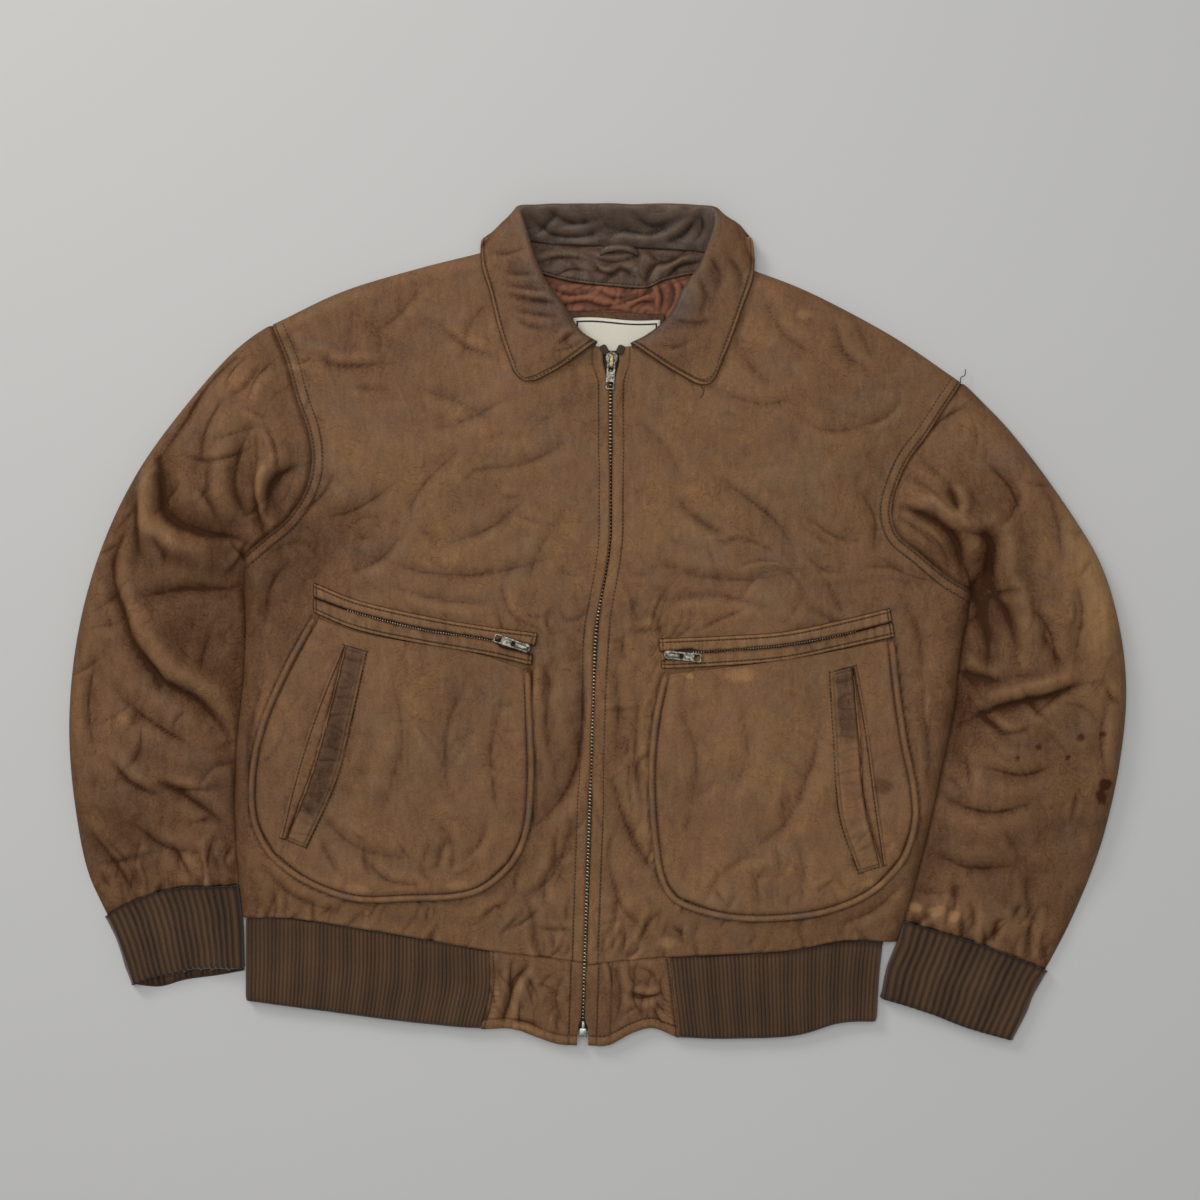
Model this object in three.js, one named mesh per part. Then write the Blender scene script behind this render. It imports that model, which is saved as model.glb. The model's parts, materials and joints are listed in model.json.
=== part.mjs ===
// A worn leather flight jacket, zipped shut and laid on its back, built from the pieces a maker sews together.
// Millimetres. +Z is up from the surface it lies on, +Y runs from the hem to the collar, +X is the wearer's left.
// The origin is on that surface, under the middle of the jacket.
import * as THREE from "three";

// ---- Driving dimensions -------------------------------------------------------------------------------------

const cloth = {
  leather: 2.2, // outer leather with its interlining, front panels and sleeves
  back: 2, // the back panel, pressed flat under the rest
  rib: 2.6, // knitted cuffs and hem band
  tab: 2.4, // leather tabs at the front of the hem
  collar: 2.4, // two layers of leather
  patch: 1.2, // pocket panels, welts and flaps
  lining: 1, // satin lining and label
};
const seam = 0.5; // gap between two pieces sewn edge to edge
const lay = 0.7; // gap under a piece that lies on a panel
const height = { body: 15, chest: 5, sleeve: 25, underArm: 8.5, cuff: 10, hem: 10, tabDrop: 1.5, neckDrop: 6 };
const fold = { side: 9, shoulder: 14, sleeve: 18, underArm: 6, cuff: 5, hem: 4 }; // how far in each edge rounds over
const zip = { top: 232, bottom: -351, chainWidth: 4.6, chainDepth: 2.2, tapeWidth: 12, tapeDepth: 0.8 };

const colours = { leather: 0x74543c, worn: 0x3f302a, rib: 0x47362a, satin: 0x6d4536, cream: 0xdedac8,
  nickel: 0x8d8a82, brass: 0xb8935a, tape: 0x3b2a20 };

function material(colour, roughness, metalness = 0) {
  return new THREE.MeshStandardMaterial({ color: colour, roughness, metalness });
}

const materials = {
  leather: material(colours.leather, 0.7),
  darkLeather: material(colours.worn, 0.55),
  rib: material(colours.rib, 0.95),
  satin: material(colours.satin, 0.45),
  label: material(colours.cream, 0.8),
  tape: material(colours.tape, 0.9),
  metal: material(colours.nickel, 0.4, 1),
  bright: material(colours.brass, 0.35, 1),
};

// ---- Outlines, seen from above ------------------------------------------------------------------------------
// Each is a list of points that a smooth curve runs through. "right" and "left" are the wearer's.

const outlines = {
  right: {
    sign: -1,
    side: [[-305, -252], [-309, -205], [-311, -140], [-309, -95], [-303, -40], [-302, 10], [-306, 58]],
    armhole: [[-281, 261], [-267, 228], [-258, 195], [-248, 166], [-245, 140], [-251, 115], [-266, 92],
      [-287, 74], [-306, 58]],
    shoulder: [[-281, 261], [-222, 289], [-153, 310], [-101, 323], [-76, 330]],
    neck: [[-76, 330], [-73, 299], [-58, 265], [-34, 241], [-4, 232]],
    hem: [[-12.6, -290], [-93, -280], [-193, -263], [-265, -252], [-305, -252]],
    sleeveOuter: [[-281, 261], [-311, 240], [-353, 194], [-399, 130], [-430, 64], [-449, -5], [-457, -80],
      [-453, -150], [-442, -212], [-425, -251]],
    cuffSeam: [[-425, -251], [-398, -236], [-362, -226], [-330, -225], [-311.4, -224]],
    cuffOuter: [[-425, -251], [-416, -270], [-408, -293], [-402, -311]],
    cuffInner: [[-311.4, -224], [-307.6, -252], [-306, -299]],
    cuffEnd: [[-402, -311], [-380, -313], [-357, -307], [-328, -303], [-306, -299]],
    tabSeam: [[-93, -280], [-93, -313], [-101, -347]],
    tabEnd: [[-20, -361], [-34, -360], [-52, -354], [-72, -347], [-101, -347]],
    ribEnd: [[-101, -347], [-132, -345], [-193, -338], [-259, -329], [-304, -323]],
    ribSide: [[-304, -252], [-304, -323]],
    pocketSide: [[-243, 6], [-268, -40], [-288, -88], [-296, -130], [-294, -168], [-280, -196]],
    pocketEnd: [[-280, -196], [-250, -219], [-209, -234], [-166, -234], [-105, -228], [-75, -205]],
    pocketInner: [[-60, -40], [-58, -90], [-57, -130], [-62, -178], [-75, -205]],
    pocketTop: [[-243, 6], [-205, -7], [-150, -17], [-100, -26], [-60, -40]],
    welt: { top: [[-243, 36], [-209, 22], [-150, 8], [-92, -2], [-52, -7]],
      zip: [[-243, 24], [-209, 12], [-150, -3], [-98, -11], [-55, -21]],
      bottom: [[-243, 12], [-209, -2], [-150, -15], [-92, -25], [-57, -33]] },
    hand: { outer: [[-219, -17], [-239, -76], [-257, -125], [-271, -181]],
      slit: [[-215, -18], [-233, -76], [-250, -125], [-266.5, -182]],
      inner: [[-198, -23], [-208, -70], [-224, -132], [-250, -189]] },
  },
  left: {
    sign: 1,
    side: [[257, -273], [266, -244], [282, -182], [296, -120], [306, -71], [312, -15], [324, 28]],
    armhole: [[314, 211], [299, 189], [282, 163], [266, 141], [256, 118], [252, 97], [257, 79], [276, 62],
      [300, 42], [324, 28]],
    shoulder: [[314, 211], [263, 246], [217, 272], [174, 293], [134, 308], [110, 317]],
    neck: [[110, 317], [106, 290], [89, 262], [62, 241], [28, 232]],
    hem: [[-8.9, -292], [55, -286], [110, -283], [165, -280], [216, -271], [257, -273]],
    sleeveOuter: [[314, 211], [354, 171], [403, 106], [434, 55], [449, 9], [457, -50], [453, -109], [436, -188],
      [413, -249], [388, -298]],
    cuffSeam: [[388, -298], [363, -287], [334, -276], [299, -265], [264.8, -255]],
    cuffOuter: [[388, -298], [378, -315], [368, -338], [358, -358]],
    cuffInner: [[264.8, -255], [259.6, -273], [251, -295], [245.4, -322]],
    cuffEnd: [[358, -358], [319, -347], [288, -335], [267, -328], [245.4, -322]],
    tabSeam: [[63, -286], [66, -312], [71, -355]],
    tabEnd: [[-8, -361], [8, -361], [30, -350], [47, -346], [71, -355]],
    ribEnd: [[71, -355], [110, -356], [173, -353], [207, -343], [241, -341]],
    ribSide: [[246, -276], [243, -305], [241, -341]],
    pocketSide: [[252, -14], [256, -52], [263, -100], [271, -140], [272, -168], [262, -200]],
    pocketEnd: [[262, -200], [235, -228], [200, -244], [155, -251], [108, -249], [67, -235]],
    pocketInner: [[58, -43], [50, -80], [46, -125], [49, -180], [56, -219], [67, -235]],
    pocketTop: [[252, -14], [220, -20], [165, -30], [110, -37], [58, -43]],
    welt: { top: [[250, 14], [209, 4], [160, -6], [100, -10], [53, -12]],
      zip: [[252, 3], [209, -8], [160, -17], [100, -22], [54, -26]],
      bottom: [[254, -9], [209, -19], [160, -29], [100, -34], [55, -36]] },
    hand: { outer: [[221, -35], [231, -90], [239, -150], [246, -204]],
      slit: [[217.5, -36], [225, -90], [232.5, -150], [241.5, -205]],
      inner: [[200, -40], [202, -90], [208, -165], [224, -211]] },
  },
};

// The collar's sections, from the wearer's right front end round the back to the left front end.
// Each follows the face that shows: neck seam, roll line, top of the roll, middle of the fall, free edge.
const collarSections = [
  { neck: [-3, 239, 15.5], roll: [0, 243, 20], top: [-3, 241, 23.5], fall: [-28, 222, 22], edge: [-56, 208, 20.5] },
  { neck: [-28, 244, 15.5], roll: [-14, 252, 21], top: [-17, 250, 25], fall: [-45, 232, 23], edge: [-71, 219, 20.5] },
  { neck: [-52, 267, 15.5], roll: [-28, 273, 21], top: [-32, 272, 25], fall: [-58, 258, 23], edge: [-84, 250, 20] },
  { neck: [-67, 297, 13.5], roll: [-45, 297, 21], top: [-49, 298, 25], fall: [-71, 291, 22], edge: [-93, 286, 18.5] },
  { neck: [-71, 320, 10], roll: [-54, 318, 21], top: [-58, 320, 25], fall: [-79, 316, 21], edge: [-100, 311, 15.5] },
  { neck: [-72, 332, 7], roll: [-59, 335, 22], top: [-63, 338, 25], fall: [-84, 338, 19], edge: [-99, 334, 5] },
  { neck: [-69, 333, 6], roll: [-63, 348, 22], top: [-67, 351, 24], fall: [-84, 345, 13], edge: [-88, 341, 3] },
  { neck: [-60, 332, 5.4], roll: [-65, 357, 22], top: [-69, 358, 20], fall: [-73, 352, 9], edge: [-68, 345, 3] },
  { neck: [-44, 330, 5.2], roll: [-48, 359, 22], top: [-49, 361, 18.5], fall: [-49, 357, 8], edge: [-46, 345, 3] },
  { neck: [16, 327, 5.2], roll: [16, 359, 22], top: [16, 361.5, 18.5], fall: [16, 358, 8], edge: [16, 343, 3] },
  { neck: [76, 324, 5.2], roll: [82, 358, 22], top: [83, 360.5, 18.5], fall: [83, 356, 8], edge: [79, 342, 3] },
  { neck: [92, 322, 5.4], roll: [99, 356, 22], top: [103, 357, 20], fall: [107, 351, 9], edge: [102, 342, 3] },
  { neck: [101, 321, 6], roll: [99, 344, 22], top: [103, 347, 24], fall: [118, 340, 13], edge: [120, 334, 3] },
  { neck: [103, 319, 7], roll: [94, 327, 22], top: [98, 329, 25], fall: [118, 328, 19], edge: [132, 322, 5] },
  { neck: [102, 307, 10], roll: [87, 309, 21], top: [91, 311, 25], fall: [112, 306, 21], edge: [132, 299, 15.5] },
  { neck: [97, 285, 13.5], roll: [74, 290, 21], top: [78, 290, 25], fall: [102, 281, 22], edge: [125, 274, 18.5] },
  { neck: [80, 261, 15.5], roll: [60, 264, 21], top: [64, 263, 25], fall: [89, 251, 23], edge: [114, 243, 20] },
  { neck: [54, 244, 15.5], roll: [42, 249, 21], top: [46, 247, 25], fall: [72, 231, 23], edge: [99, 217, 20.5] },
  { neck: [30, 239, 15.5], roll: [28, 242, 20], top: [31, 240, 23.5], fall: [56, 222, 22], edge: [84, 207, 20.5] },
];

// The largest folds: each is a soft trough or ridge along a line, with its half width and its height.
const folds = [
  { line: [[-370, 150], [-369, 97], [-340, 80], [-312, 72]], width: 13, height: -8 },
  { line: [[-411, 57], [-412, 10], [-398, -26], [-350, -60], [-316, -100]], width: 12, height: -7 },
  { line: [[-398, -130], [-362, -168], [-330, -196]], width: 14, height: -4 },
  { line: [[-340, 130], [-345, 40], [-335, -10]], width: 20, height: 4 },
  { line: [[300, 96], [322, 52], [345, 0]], width: 13, height: -7 },
  { line: [[318, -55], [352, -74], [408, -54]], width: 13, height: -8 },
  { line: [[340, -150], [368, -170], [386, -186]], width: 16, height: -4 },
  { line: [[350, 100], [388, 20], [390, -20]], width: 24, height: 4 },
];

// ---- Small tools ----------------------------------------------------------------------------------------------

const point = (x, y, z = 0) => new THREE.Vector3(x, y, z);
const mix = (a, b, t) => a.clone().lerp(b, t);
const smooth = (t) => THREE.MathUtils.smoothstep(t, 0, 1);
const rounded = (distance, reach) => Math.sqrt(1 - (1 - THREE.MathUtils.clamp(distance / reach, 0, 1)) ** 2);

function curveThrough(points) {
  const curve = new THREE.CatmullRomCurve3(points.map((p) => point(...p)), false, "centripetal");
  return (t) => curve.getPointAt(THREE.MathUtils.clamp(t, 0, 1));
}

function sample(curve, count) {
  return Array.from({ length: count + 1 }, (_, k) => curve(k / count));
}

function evenly(from, to, count) {
  return Array.from({ length: count + 1 }, (_, k) => THREE.MathUtils.lerp(from, to, k / count));
}

// Where along a curve, which runs one way in X, it passes an X.
function shareAtX(curve, x) {
  const rising = curve(1).x > curve(0).x;
  let [low, high] = [0, 1];
  for (let k = 0; k < 30; k++) {
    const middle = (low + high) / 2;
    if (curve(middle).x < x === rising) low = middle;
    else high = middle;
  }
  return low;
}

// The place on a line of points that is nearest to a place, seen from above, and how far away it is.
function nearestOn(line, x, y) {
  let best = { distance: Infinity };
  for (let k = 0; k < line.length - 1; k++) {
    const a = line[k];
    const dx = line[k + 1].x - a.x;
    const dy = line[k + 1].y - a.y;
    const t = THREE.MathUtils.clamp(((x - a.x) * dx + (y - a.y) * dy) / (dx * dx + dy * dy), 0, 1);
    const near = { x: a.x + t * dx, y: a.y + t * dy };
    const distance = Math.hypot(x - near.x, y - near.y);
    if (distance < best.distance) best = { ...near, distance };
  }
  return best;
}

const distanceTo = (line, x, y) => nearestOn(line, x, y).distance;

// The points of a line that are at least so far from its start and from its end.
function trimmed(line, atStart, atEnd) {
  return line.filter((p) => p.distanceTo(line[0]) >= atStart && p.distanceTo(line[line.length - 1]) >= atEnd);
}

// A line moved sideways, seen from above: to the left of its direction if the distance is positive.
function movedSideways(line, distance) {
  return line.map((p, k) => {
    const along = line[Math.min(k + 1, line.length - 1)].clone().sub(line[Math.max(k - 1, 0)]).normalize();
    return point(p.x - along.y * distance, p.y + along.x * distance, p.z);
  });
}

// ---- Heights --------------------------------------------------------------------------------------------------

const edges = Object.values(outlines).map((o) => ({
  side: sample(curveThrough(o.side), 40),
  shoulder: sample(curveThrough(o.shoulder), 40),
}));

// The zip bends where the two fronts were pulled past each other, then slants to the hem.
function zipX(y) {
  return 11.5 - 13 * smooth((85 - y) / 105) - 0.033 * Math.max(0, -10 - y);
}

// The seam between the leather and the knitted band, on the front and, a little higher, on the back.
function hemSeamY(x) {
  return -290 + (x < -10 ? 38 : 17) * (Math.abs(x + 10) / 290) ** 1.5;
}

function backHemY(x) {
  return THREE.MathUtils.lerp(-252, -273, (x + 304) / 552) - 5 * (1 - ((x + 28) / 276) ** 2);
}

// The top of the front panels: highest at the chest, lower at the neck and hem, round at its outer edges.
function bodyHeight(x, y) {
  const chest = height.chest * Math.exp(-(((x - 5) / 190) ** 2) - ((y - 60) / 190) ** 2);
  const neck = height.neckDrop * Math.exp(-(((Math.abs(x - 16) - 90) / 55) ** 2) - ((y - 330) / 60) ** 2);
  const toSeam = hemSeamY(x) - y;
  const hem = (height.body - height.hem) * smooth((toSeam + 55) / 55) + height.tabDrop * smooth(toSeam / 60);
  const edge = edges.reduce(
    (least, e) => Math.min(least, rounded(distanceTo(e.side, x, y), fold.side) *
      rounded(distanceTo(e.shoulder, x, y), fold.shoulder)),
    1,
  );
  return (height.body + chest - neck - hem) * edge;
}

const foldLines = folds.map((f) => ({ ...f, points: sample(curveThrough(f.line), 12) }));

function foldHeight(x, y) {
  return foldLines.reduce((sum, f) => sum + f.height * Math.exp(-((distanceTo(f.points, x, y) / f.width) ** 2)), 0);
}

// ---- Cloth walls ------------------------------------------------------------------------------------------------

// A closed wall from rows of points on the face that shows. The other face is moved in by the thickness, no lower
// than "lowest". From row "ringFrom" on, the rows close on themselves. Every open edge gets a rim.
function clothWall(rows, thickness, { ringFrom = Infinity, lowest = 0 } = {}) {
  const across = rows[0].length;
  const shown = rows.flat();
  const cells = [];
  for (let i = 0; i < rows.length - 1; i++) {
    const spans = i >= ringFrom ? across : across - 1;
    for (let j = 0; j < spans; j++) {
      const next = (j + 1) % across;
      cells.push([i * across + j, i * across + next, (i + 1) * across + next, (i + 1) * across + j]);
    }
  }
  const normals = shown.map(() => point(0, 0));
  for (const cell of cells) {
    const [a, b, c, d] = cell.map((k) => shown[k]);
    const normal = c.clone().sub(a).cross(d.clone().sub(b));
    for (const k of cell) normals[k].add(normal);
  }
  const hidden = shown.map((p, k) => {
    const moved = p.clone().addScaledVector(normals[k].normalize(), -thickness);
    return moved.setZ(Math.max(moved.z, lowest));
  });
  return wallBetween(shown, hidden, cells);
}

// Triangles for the two faces, and for the rims between them along each edge that only one cell has.
function wallBetween(shown, hidden, cells) {
  const count = shown.length;
  const index = [];
  const quad = (a, b, c, d) => index.push(a, b, c, a, c, d);
  const used = new Set(cells.flatMap((cell) => cell.map((a, k) => `${a} ${cell[(k + 1) % 4]}`)));
  for (const cell of cells) {
    const [a, b, c, d] = cell;
    quad(a, b, c, d);
    quad(count + d, count + c, count + b, count + a);
    cell.forEach((from, k) => {
      const to = cell[(k + 1) % 4];
      if (!used.has(`${to} ${from}`)) quad(to, from, count + from, count + to);
    });
  }
  const geometry = new THREE.BufferGeometry();
  const positions = [...shown, ...hidden].flatMap((p) => [p.x, p.y, p.z]);
  geometry.setAttribute("position", new THREE.Float32BufferAttribute(positions, 3));
  geometry.setIndex(index);
  geometry.computeVertexNormals();
  return geometry;
}

// A four-sided patch between boundary lines of points. Rows run along "inner" and "outer", columns along
// "bottom" and "top"; us and vs are the places of the rows and columns between 0 and 1.
function patch({ inner, outer, bottom, top, us, vs }) {
  const last = us.length - 1;
  return us.map((u, i) => vs.map((v, j) => {
    const p = mix(inner[i], outer[i], v).add(mix(bottom[j], top[j], u));
    const corners = mix(mix(inner[0], outer[0], v), mix(inner[last], outer[last], v), u);
    return p.sub(corners);
  }));
}

function withHeight(rows, heightAt) {
  return rows.map((row) => row.map((p) => point(p.x, p.y, heightAt(p.x, p.y))));
}

// Rows that run from the wearer's right to left face up; those of the right side are turned round.
const faceUp = (rows, sign) => (sign > 0 ? rows : rows.map((row) => [...row].reverse()));

function sewn(name, geometry, finish) {
  const mesh = new THREE.Mesh(geometry, finish);
  mesh.name = name;
  return mesh;
}

// A piece that lies on the panels: four boundary curves, and how far its top face is above them.
function laidPatch({ inner, outer, bottom, top }, columns, rows, above, thickness, sign) {
  const us = evenly(0, 1, rows);
  const vs = evenly(0, 1, columns);
  const flat = patch({ inner: us.map(inner), outer: us.map(outer), bottom: vs.map(bottom), top: vs.map(top), us, vs });
  return clothWall(faceUp(withHeight(flat, (x, y) => bodyHeight(x, y) + above), sign), thickness);
}

// ---- Front panels, sleeves and cuffs ------------------------------------------------------------------------------

const roundSteps = [0, 0.134, 0.5, 1]; // along a quarter round, in shares of its reach
const roundStart = (share) => roundSteps.map((s) => s * share);
const roundEnd = (share) => roundSteps.map((s) => 1 - s * share).reverse();
const armholeShares = [...roundStart(0.06), ...evenly(0.06, 0.962, 7).slice(1, -1), ...roundEnd(0.038)];
const sideShares = evenly(0, 1, 9).slice(0, -1);
const armpitRow = 0.52; // where the armpit lies between the hem seam and the shoulder
const besideBody = 2; // gap between a sleeve and the side of the body it lies along

// Half the width of the gap between the leather edges: narrow at the chest, wide round the slider.
const zipGap = (y) => 1.4 + 0.6 * smooth((40 - y) / 60) + 5 * smooth((y - 196) / 26);

// The outer edge of a front panel, from the hem up the side and round the armhole to the shoulder,
// moved out from the body by a gap.
function bodyEdge(o, gapAtSide, gapAtArmhole) {
  const side = movedSideways([...sideShares, 1].map(curveThrough(o.side)), -o.sign * gapAtSide);
  const shares = [...armholeShares].reverse();
  const armhole = shares.map(curveThrough(o.armhole));
  const [atArmpit, along] = [gapAtSide, gapAtArmhole].map((gap) => movedSideways(armhole, -o.sign * gap));
  return [...side.slice(0, -1), ...along.map((p, k) => mix(p, atArmpit[k], smooth((shares[k] - 0.8) / 0.18)))];
}

function frontPanel(o) {
  const us = [...sideShares.map((s) => s * armpitRow),
    ...[...armholeShares].reverse().map((a) => armpitRow + (1 - armpitRow) * (1 - a))];
  const vs = [...evenly(0, 0.97, 8).slice(0, -1), ...roundEnd(0.03)];
  const outer = bodyEdge(o, 0, -seam / 2);
  const inner = us.map((u) => {
    const y = THREE.MathUtils.lerp(o.hem[0][1], zip.top, u);
    return point(zipX(y) + o.sign * zipGap(y), y);
  });
  const bottom = vs.map(curveThrough(o.hem));
  const top = vs.map(curveThrough([...[...o.neck].reverse(), ...[...o.shoulder].reverse().slice(1)]));
  bottom[0] = inner[0];
  top[0] = inner[inner.length - 1];
  outer[0] = bottom[bottom.length - 1];
  outer[outer.length - 1] = top[top.length - 1];
  const rows = withHeight(patch({ inner, outer, bottom, top, us, vs }), bodyHeight);
  return clothWall(faceUp(rows, o.sign), cloth.leather);
}

// A tube of cloth pressed flat: the rows give its top, and its underside lies on the floor.
function flatTube(rows, thickness, sign) {
  const undersideShares = [0.97, 0.8, 0.5, 0.2, 0.03];
  const rings = rows.map((row) => {
    const under = undersideShares.map((v) => {
      const k = v * (row.length - 1);
      return mix(row[Math.floor(k)], row[Math.ceil(k)], k % 1).setZ(0);
    });
    return [...[...row].reverse(), ...under.reverse()];
  });
  return clothWall(faceUp(rings, -sign), thickness, { ringFrom: 0, lowest: thickness });
}

// Shares across a sleeve from its outer edge to its inner one, closer where it rounds over.
const sleeveShares = [0, 0.017, 0.064, 0.13, 0.27, 0.42, 0.57, 0.72, 0.85, 0.957, 0.979, 0.994, 1];

// A sleeve is sewn from a top and an underside. The top starts as a narrow row at the shoulder. Its inner edge
// follows the armhole, where the sleeve opens into the body, then turns down to the floor along the body's side.
function sleeveTop(o) {
  const edge = bodyEdge(o, besideBody, seam / 2).reverse();
  const beside = [...edge.slice(0, armholeShares.length - 1), ...edge.slice(armholeShares.length - 1)
    .filter((p) => p.y > o.cuffInner[0][1] + 15), point(...o.cuffInner[0])];
  const inner = beside.slice(1);
  const outerCurve = curveThrough(o.sleeveOuter);
  const us = inner.map((_, i) => (i + 1) / inner.length);
  const outer = us.map((u) => outerCurve(u));
  const tip = sleeveShares.map((v) => mix(outer[0], inner[0], v));
  const cuffSeam = sleeveShares.map(curveThrough(o.cuffSeam));
  const last = us.length - 1;
  const flat = patch({ inner: outer, outer: inner, bottom: tip, top: cuffSeam,
    us: us.map((u) => (u - us[0]) / (us[last] - us[0])), vs: sleeveShares });
  const armhole = sample(curveThrough(o.armhole), 40);
  const side = sample(curveThrough(o.side), 40);
  const outerLine = sample(outerCurve, 60);
  const heightAt = (x, y) => {
    const toArmhole = nearestOn(armhole, x, y);
    const toBody = distanceTo(side, x, y);
    const down = (o.armhole[0][1] - y) / (o.armhole[0][1] - o.cuffInner[0][1]);
    const full = height.sleeve - 5 * smooth((down - 0.3) / 0.5) - (20 - height.cuff) * smooth((down - 0.8) / 0.2);
    const shaped = height.underArm * rounded(toBody, fold.underArm) + (full - height.underArm) * smooth(toBody / 60);
    const free = shaped * rounded(distanceTo(outerLine, x, y), fold.sleeve) + foldHeight(x, y) * smooth(toBody / 30);
    return Math.max(THREE.MathUtils.lerp(bodyHeight(toArmhole.x, toArmhole.y), free, smooth(toArmhole.distance / 40)), 0);
  };
  return clothWall(faceUp(withHeight(flat, heightAt), o.sign), cloth.leather);
}

// The underside lies flat on the floor, inside the rim of the top, and keeps clear of the armpit.
function sleeveUnder(o) {
  const inset = cloth.leather + 2;
  const armpit = point(...o.side[o.side.length - 1]);
  const clear = 40;
  const outer = movedSideways(sample(curveThrough(o.sleeveOuter), 24), -o.sign * inset);
  const side = movedSideways(sample(curveThrough(o.side), 24), -o.sign * (besideBody + inset));
  const armhole = movedSideways(sample(curveThrough(o.armhole), 16), o.sign * seam * 1.5);
  const cuffSeam = sample(curveThrough(o.cuffSeam), 8).map((p) => p.setY(p.y + seam));
  const outline = [
    ...trimmed(outer, 14, 10), ...trimmed(cuffSeam, inset, inset),
    ...trimmed(side, 0, clear).filter((p) => p.y > o.cuffInner[0][1] + inset),
    armpit.clone().add(point(o.sign * clear * 0.9, clear * 0.5)), ...trimmed(armhole, 14, clear).reverse(),
  ];
  const shape = new THREE.Shape(outline.map((p) => new THREE.Vector2(p.x, p.y)));
  return new THREE.ExtrudeGeometry(shape, { depth: cloth.back, bevelEnabled: false });
}

function cuff(o) {
  const ts = [0, 0.06, 0.35, 0.7, 1];
  const outer = ts.map(curveThrough(o.cuffOuter));
  const inner = ts.map(curveThrough(o.cuffInner));
  const flat = patch({ inner: outer, outer: inner, bottom: sleeveShares.map(curveThrough(o.cuffSeam)),
    top: sleeveShares.map(curveThrough(o.cuffEnd)), us: ts, vs: sleeveShares });
  flat[0] = flat[0].map((p, j) => p.clone().add(flat[1][j].clone().sub(p).setLength(seam)));
  const heightAt = (x, y) => height.cuff *
    rounded(Math.min(distanceTo(outer, x, y), distanceTo(inner, x, y)), fold.cuff);
  return flatTube(withHeight(flat, heightAt), cloth.rib, o.sign);
}

// ---- Back and hem -----------------------------------------------------------------------------------------------

// The back lies flat inside the rims of the front panels, which wrap down to the floor round it.
function backPanel() {
  const { right, left } = outlines;
  const inset = cloth.leather + 2;
  const clear = 14; // the corners are cut back from the armpits and shoulder tips
  const sideOf = (o) => trimmed(movedSideways(sample(curveThrough(o.side), 16), o.sign * inset), 0, clear);
  const armOf = (o) => trimmed(movedSideways(sample(curveThrough(o.armhole), 16), -o.sign * seam * 1.5), clear, clear);
  const shoulderOf = (o) => trimmed(movedSideways(sample(curveThrough(o.shoulder), 10), o.sign * inset), clear, 4);
  const neckLine = sample(curveThrough([[-71, 325], [-30, 321], [16, 319.5], [60, 319], [102, 313]]), 8);
  const hemLine = evenly(right.side[0][0] + inset, left.side[0][0] - inset, 8).map((x) => point(x, backHemY(x)));
  const outline = [
    ...hemLine, ...sideOf(left).slice(1), ...armOf(left).reverse(), ...shoulderOf(left),
    ...neckLine.reverse(), ...shoulderOf(right).reverse(), ...armOf(right), ...sideOf(right).slice(1).reverse(),
  ];
  const shape = new THREE.Shape(outline.map((p) => new THREE.Vector2(p.x, p.y)));
  return new THREE.ExtrudeGeometry(shape, { depth: cloth.back, bevelEnabled: false });
}

// The knitted band: one strip from the right tab, round the back, to the left tab.
function hemBand() {
  const { right, left } = outlines;
  const steps = evenly(0, 1, 3);
  const frontShares = [...evenly(0, 0.97, 5), 0.985, 0.997, 1];
  const half = (o) => {
    const hem = curveThrough(o.hem);
    const from = shareAtX(hem, o.tabSeam[0][0]);
    const to = shareAtX(hem, o.ribSide[0][0]);
    const seamLine = frontShares.map((s) => hem(THREE.MathUtils.lerp(from, to, s)));
    for (const p of seamLine) p.y -= seam + 0.4;
    const endLine = frontShares.map(curveThrough(o.ribEnd));
    const tabEdge = steps.map(curveThrough(o.tabSeam)).map((p) => p.add(point(o.sign * seam, 0)));
    const sideEdge = steps.map(curveThrough(o.ribSide));
    seamLine[0] = tabEdge[0].clone();
    seamLine[0].y -= seam + 0.4;
    tabEdge[0] = seamLine[0];
    sideEdge[0] = seamLine[seamLine.length - 1];
    endLine[0] = tabEdge[tabEdge.length - 1];
    endLine[endLine.length - 1] = sideEdge[sideEdge.length - 1];
    const flat = patch({ inner: tabEdge, outer: sideEdge, bottom: seamLine, top: endLine, us: steps, vs: frontShares });
    return withHeight(flat, (x, y) => height.hem * rounded(distanceTo(sideEdge, x, y), fold.hem));
  };
  const [rightRows, leftRows] = [half(right), half(left)];
  const rows = steps.map((down, i) => {
    const from = rightRows[i][rightRows[i].length - 1];
    const to = leftRows[i][leftRows[i].length - 1];
    const under = evenly(0, 1, 8).slice(1, -1).map((across) => {
      const p = mix(from, to, across);
      const atSeam = backHemY(p.x) - seam - 0.4;
      return p.setY(atSeam - 69 * down);
    });
    return [...rightRows[i], ...under, ...[...leftRows[i]].reverse()];
  });
  return clothWall(rows, cloth.rib, { lowest: cloth.rib });
}

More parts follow.
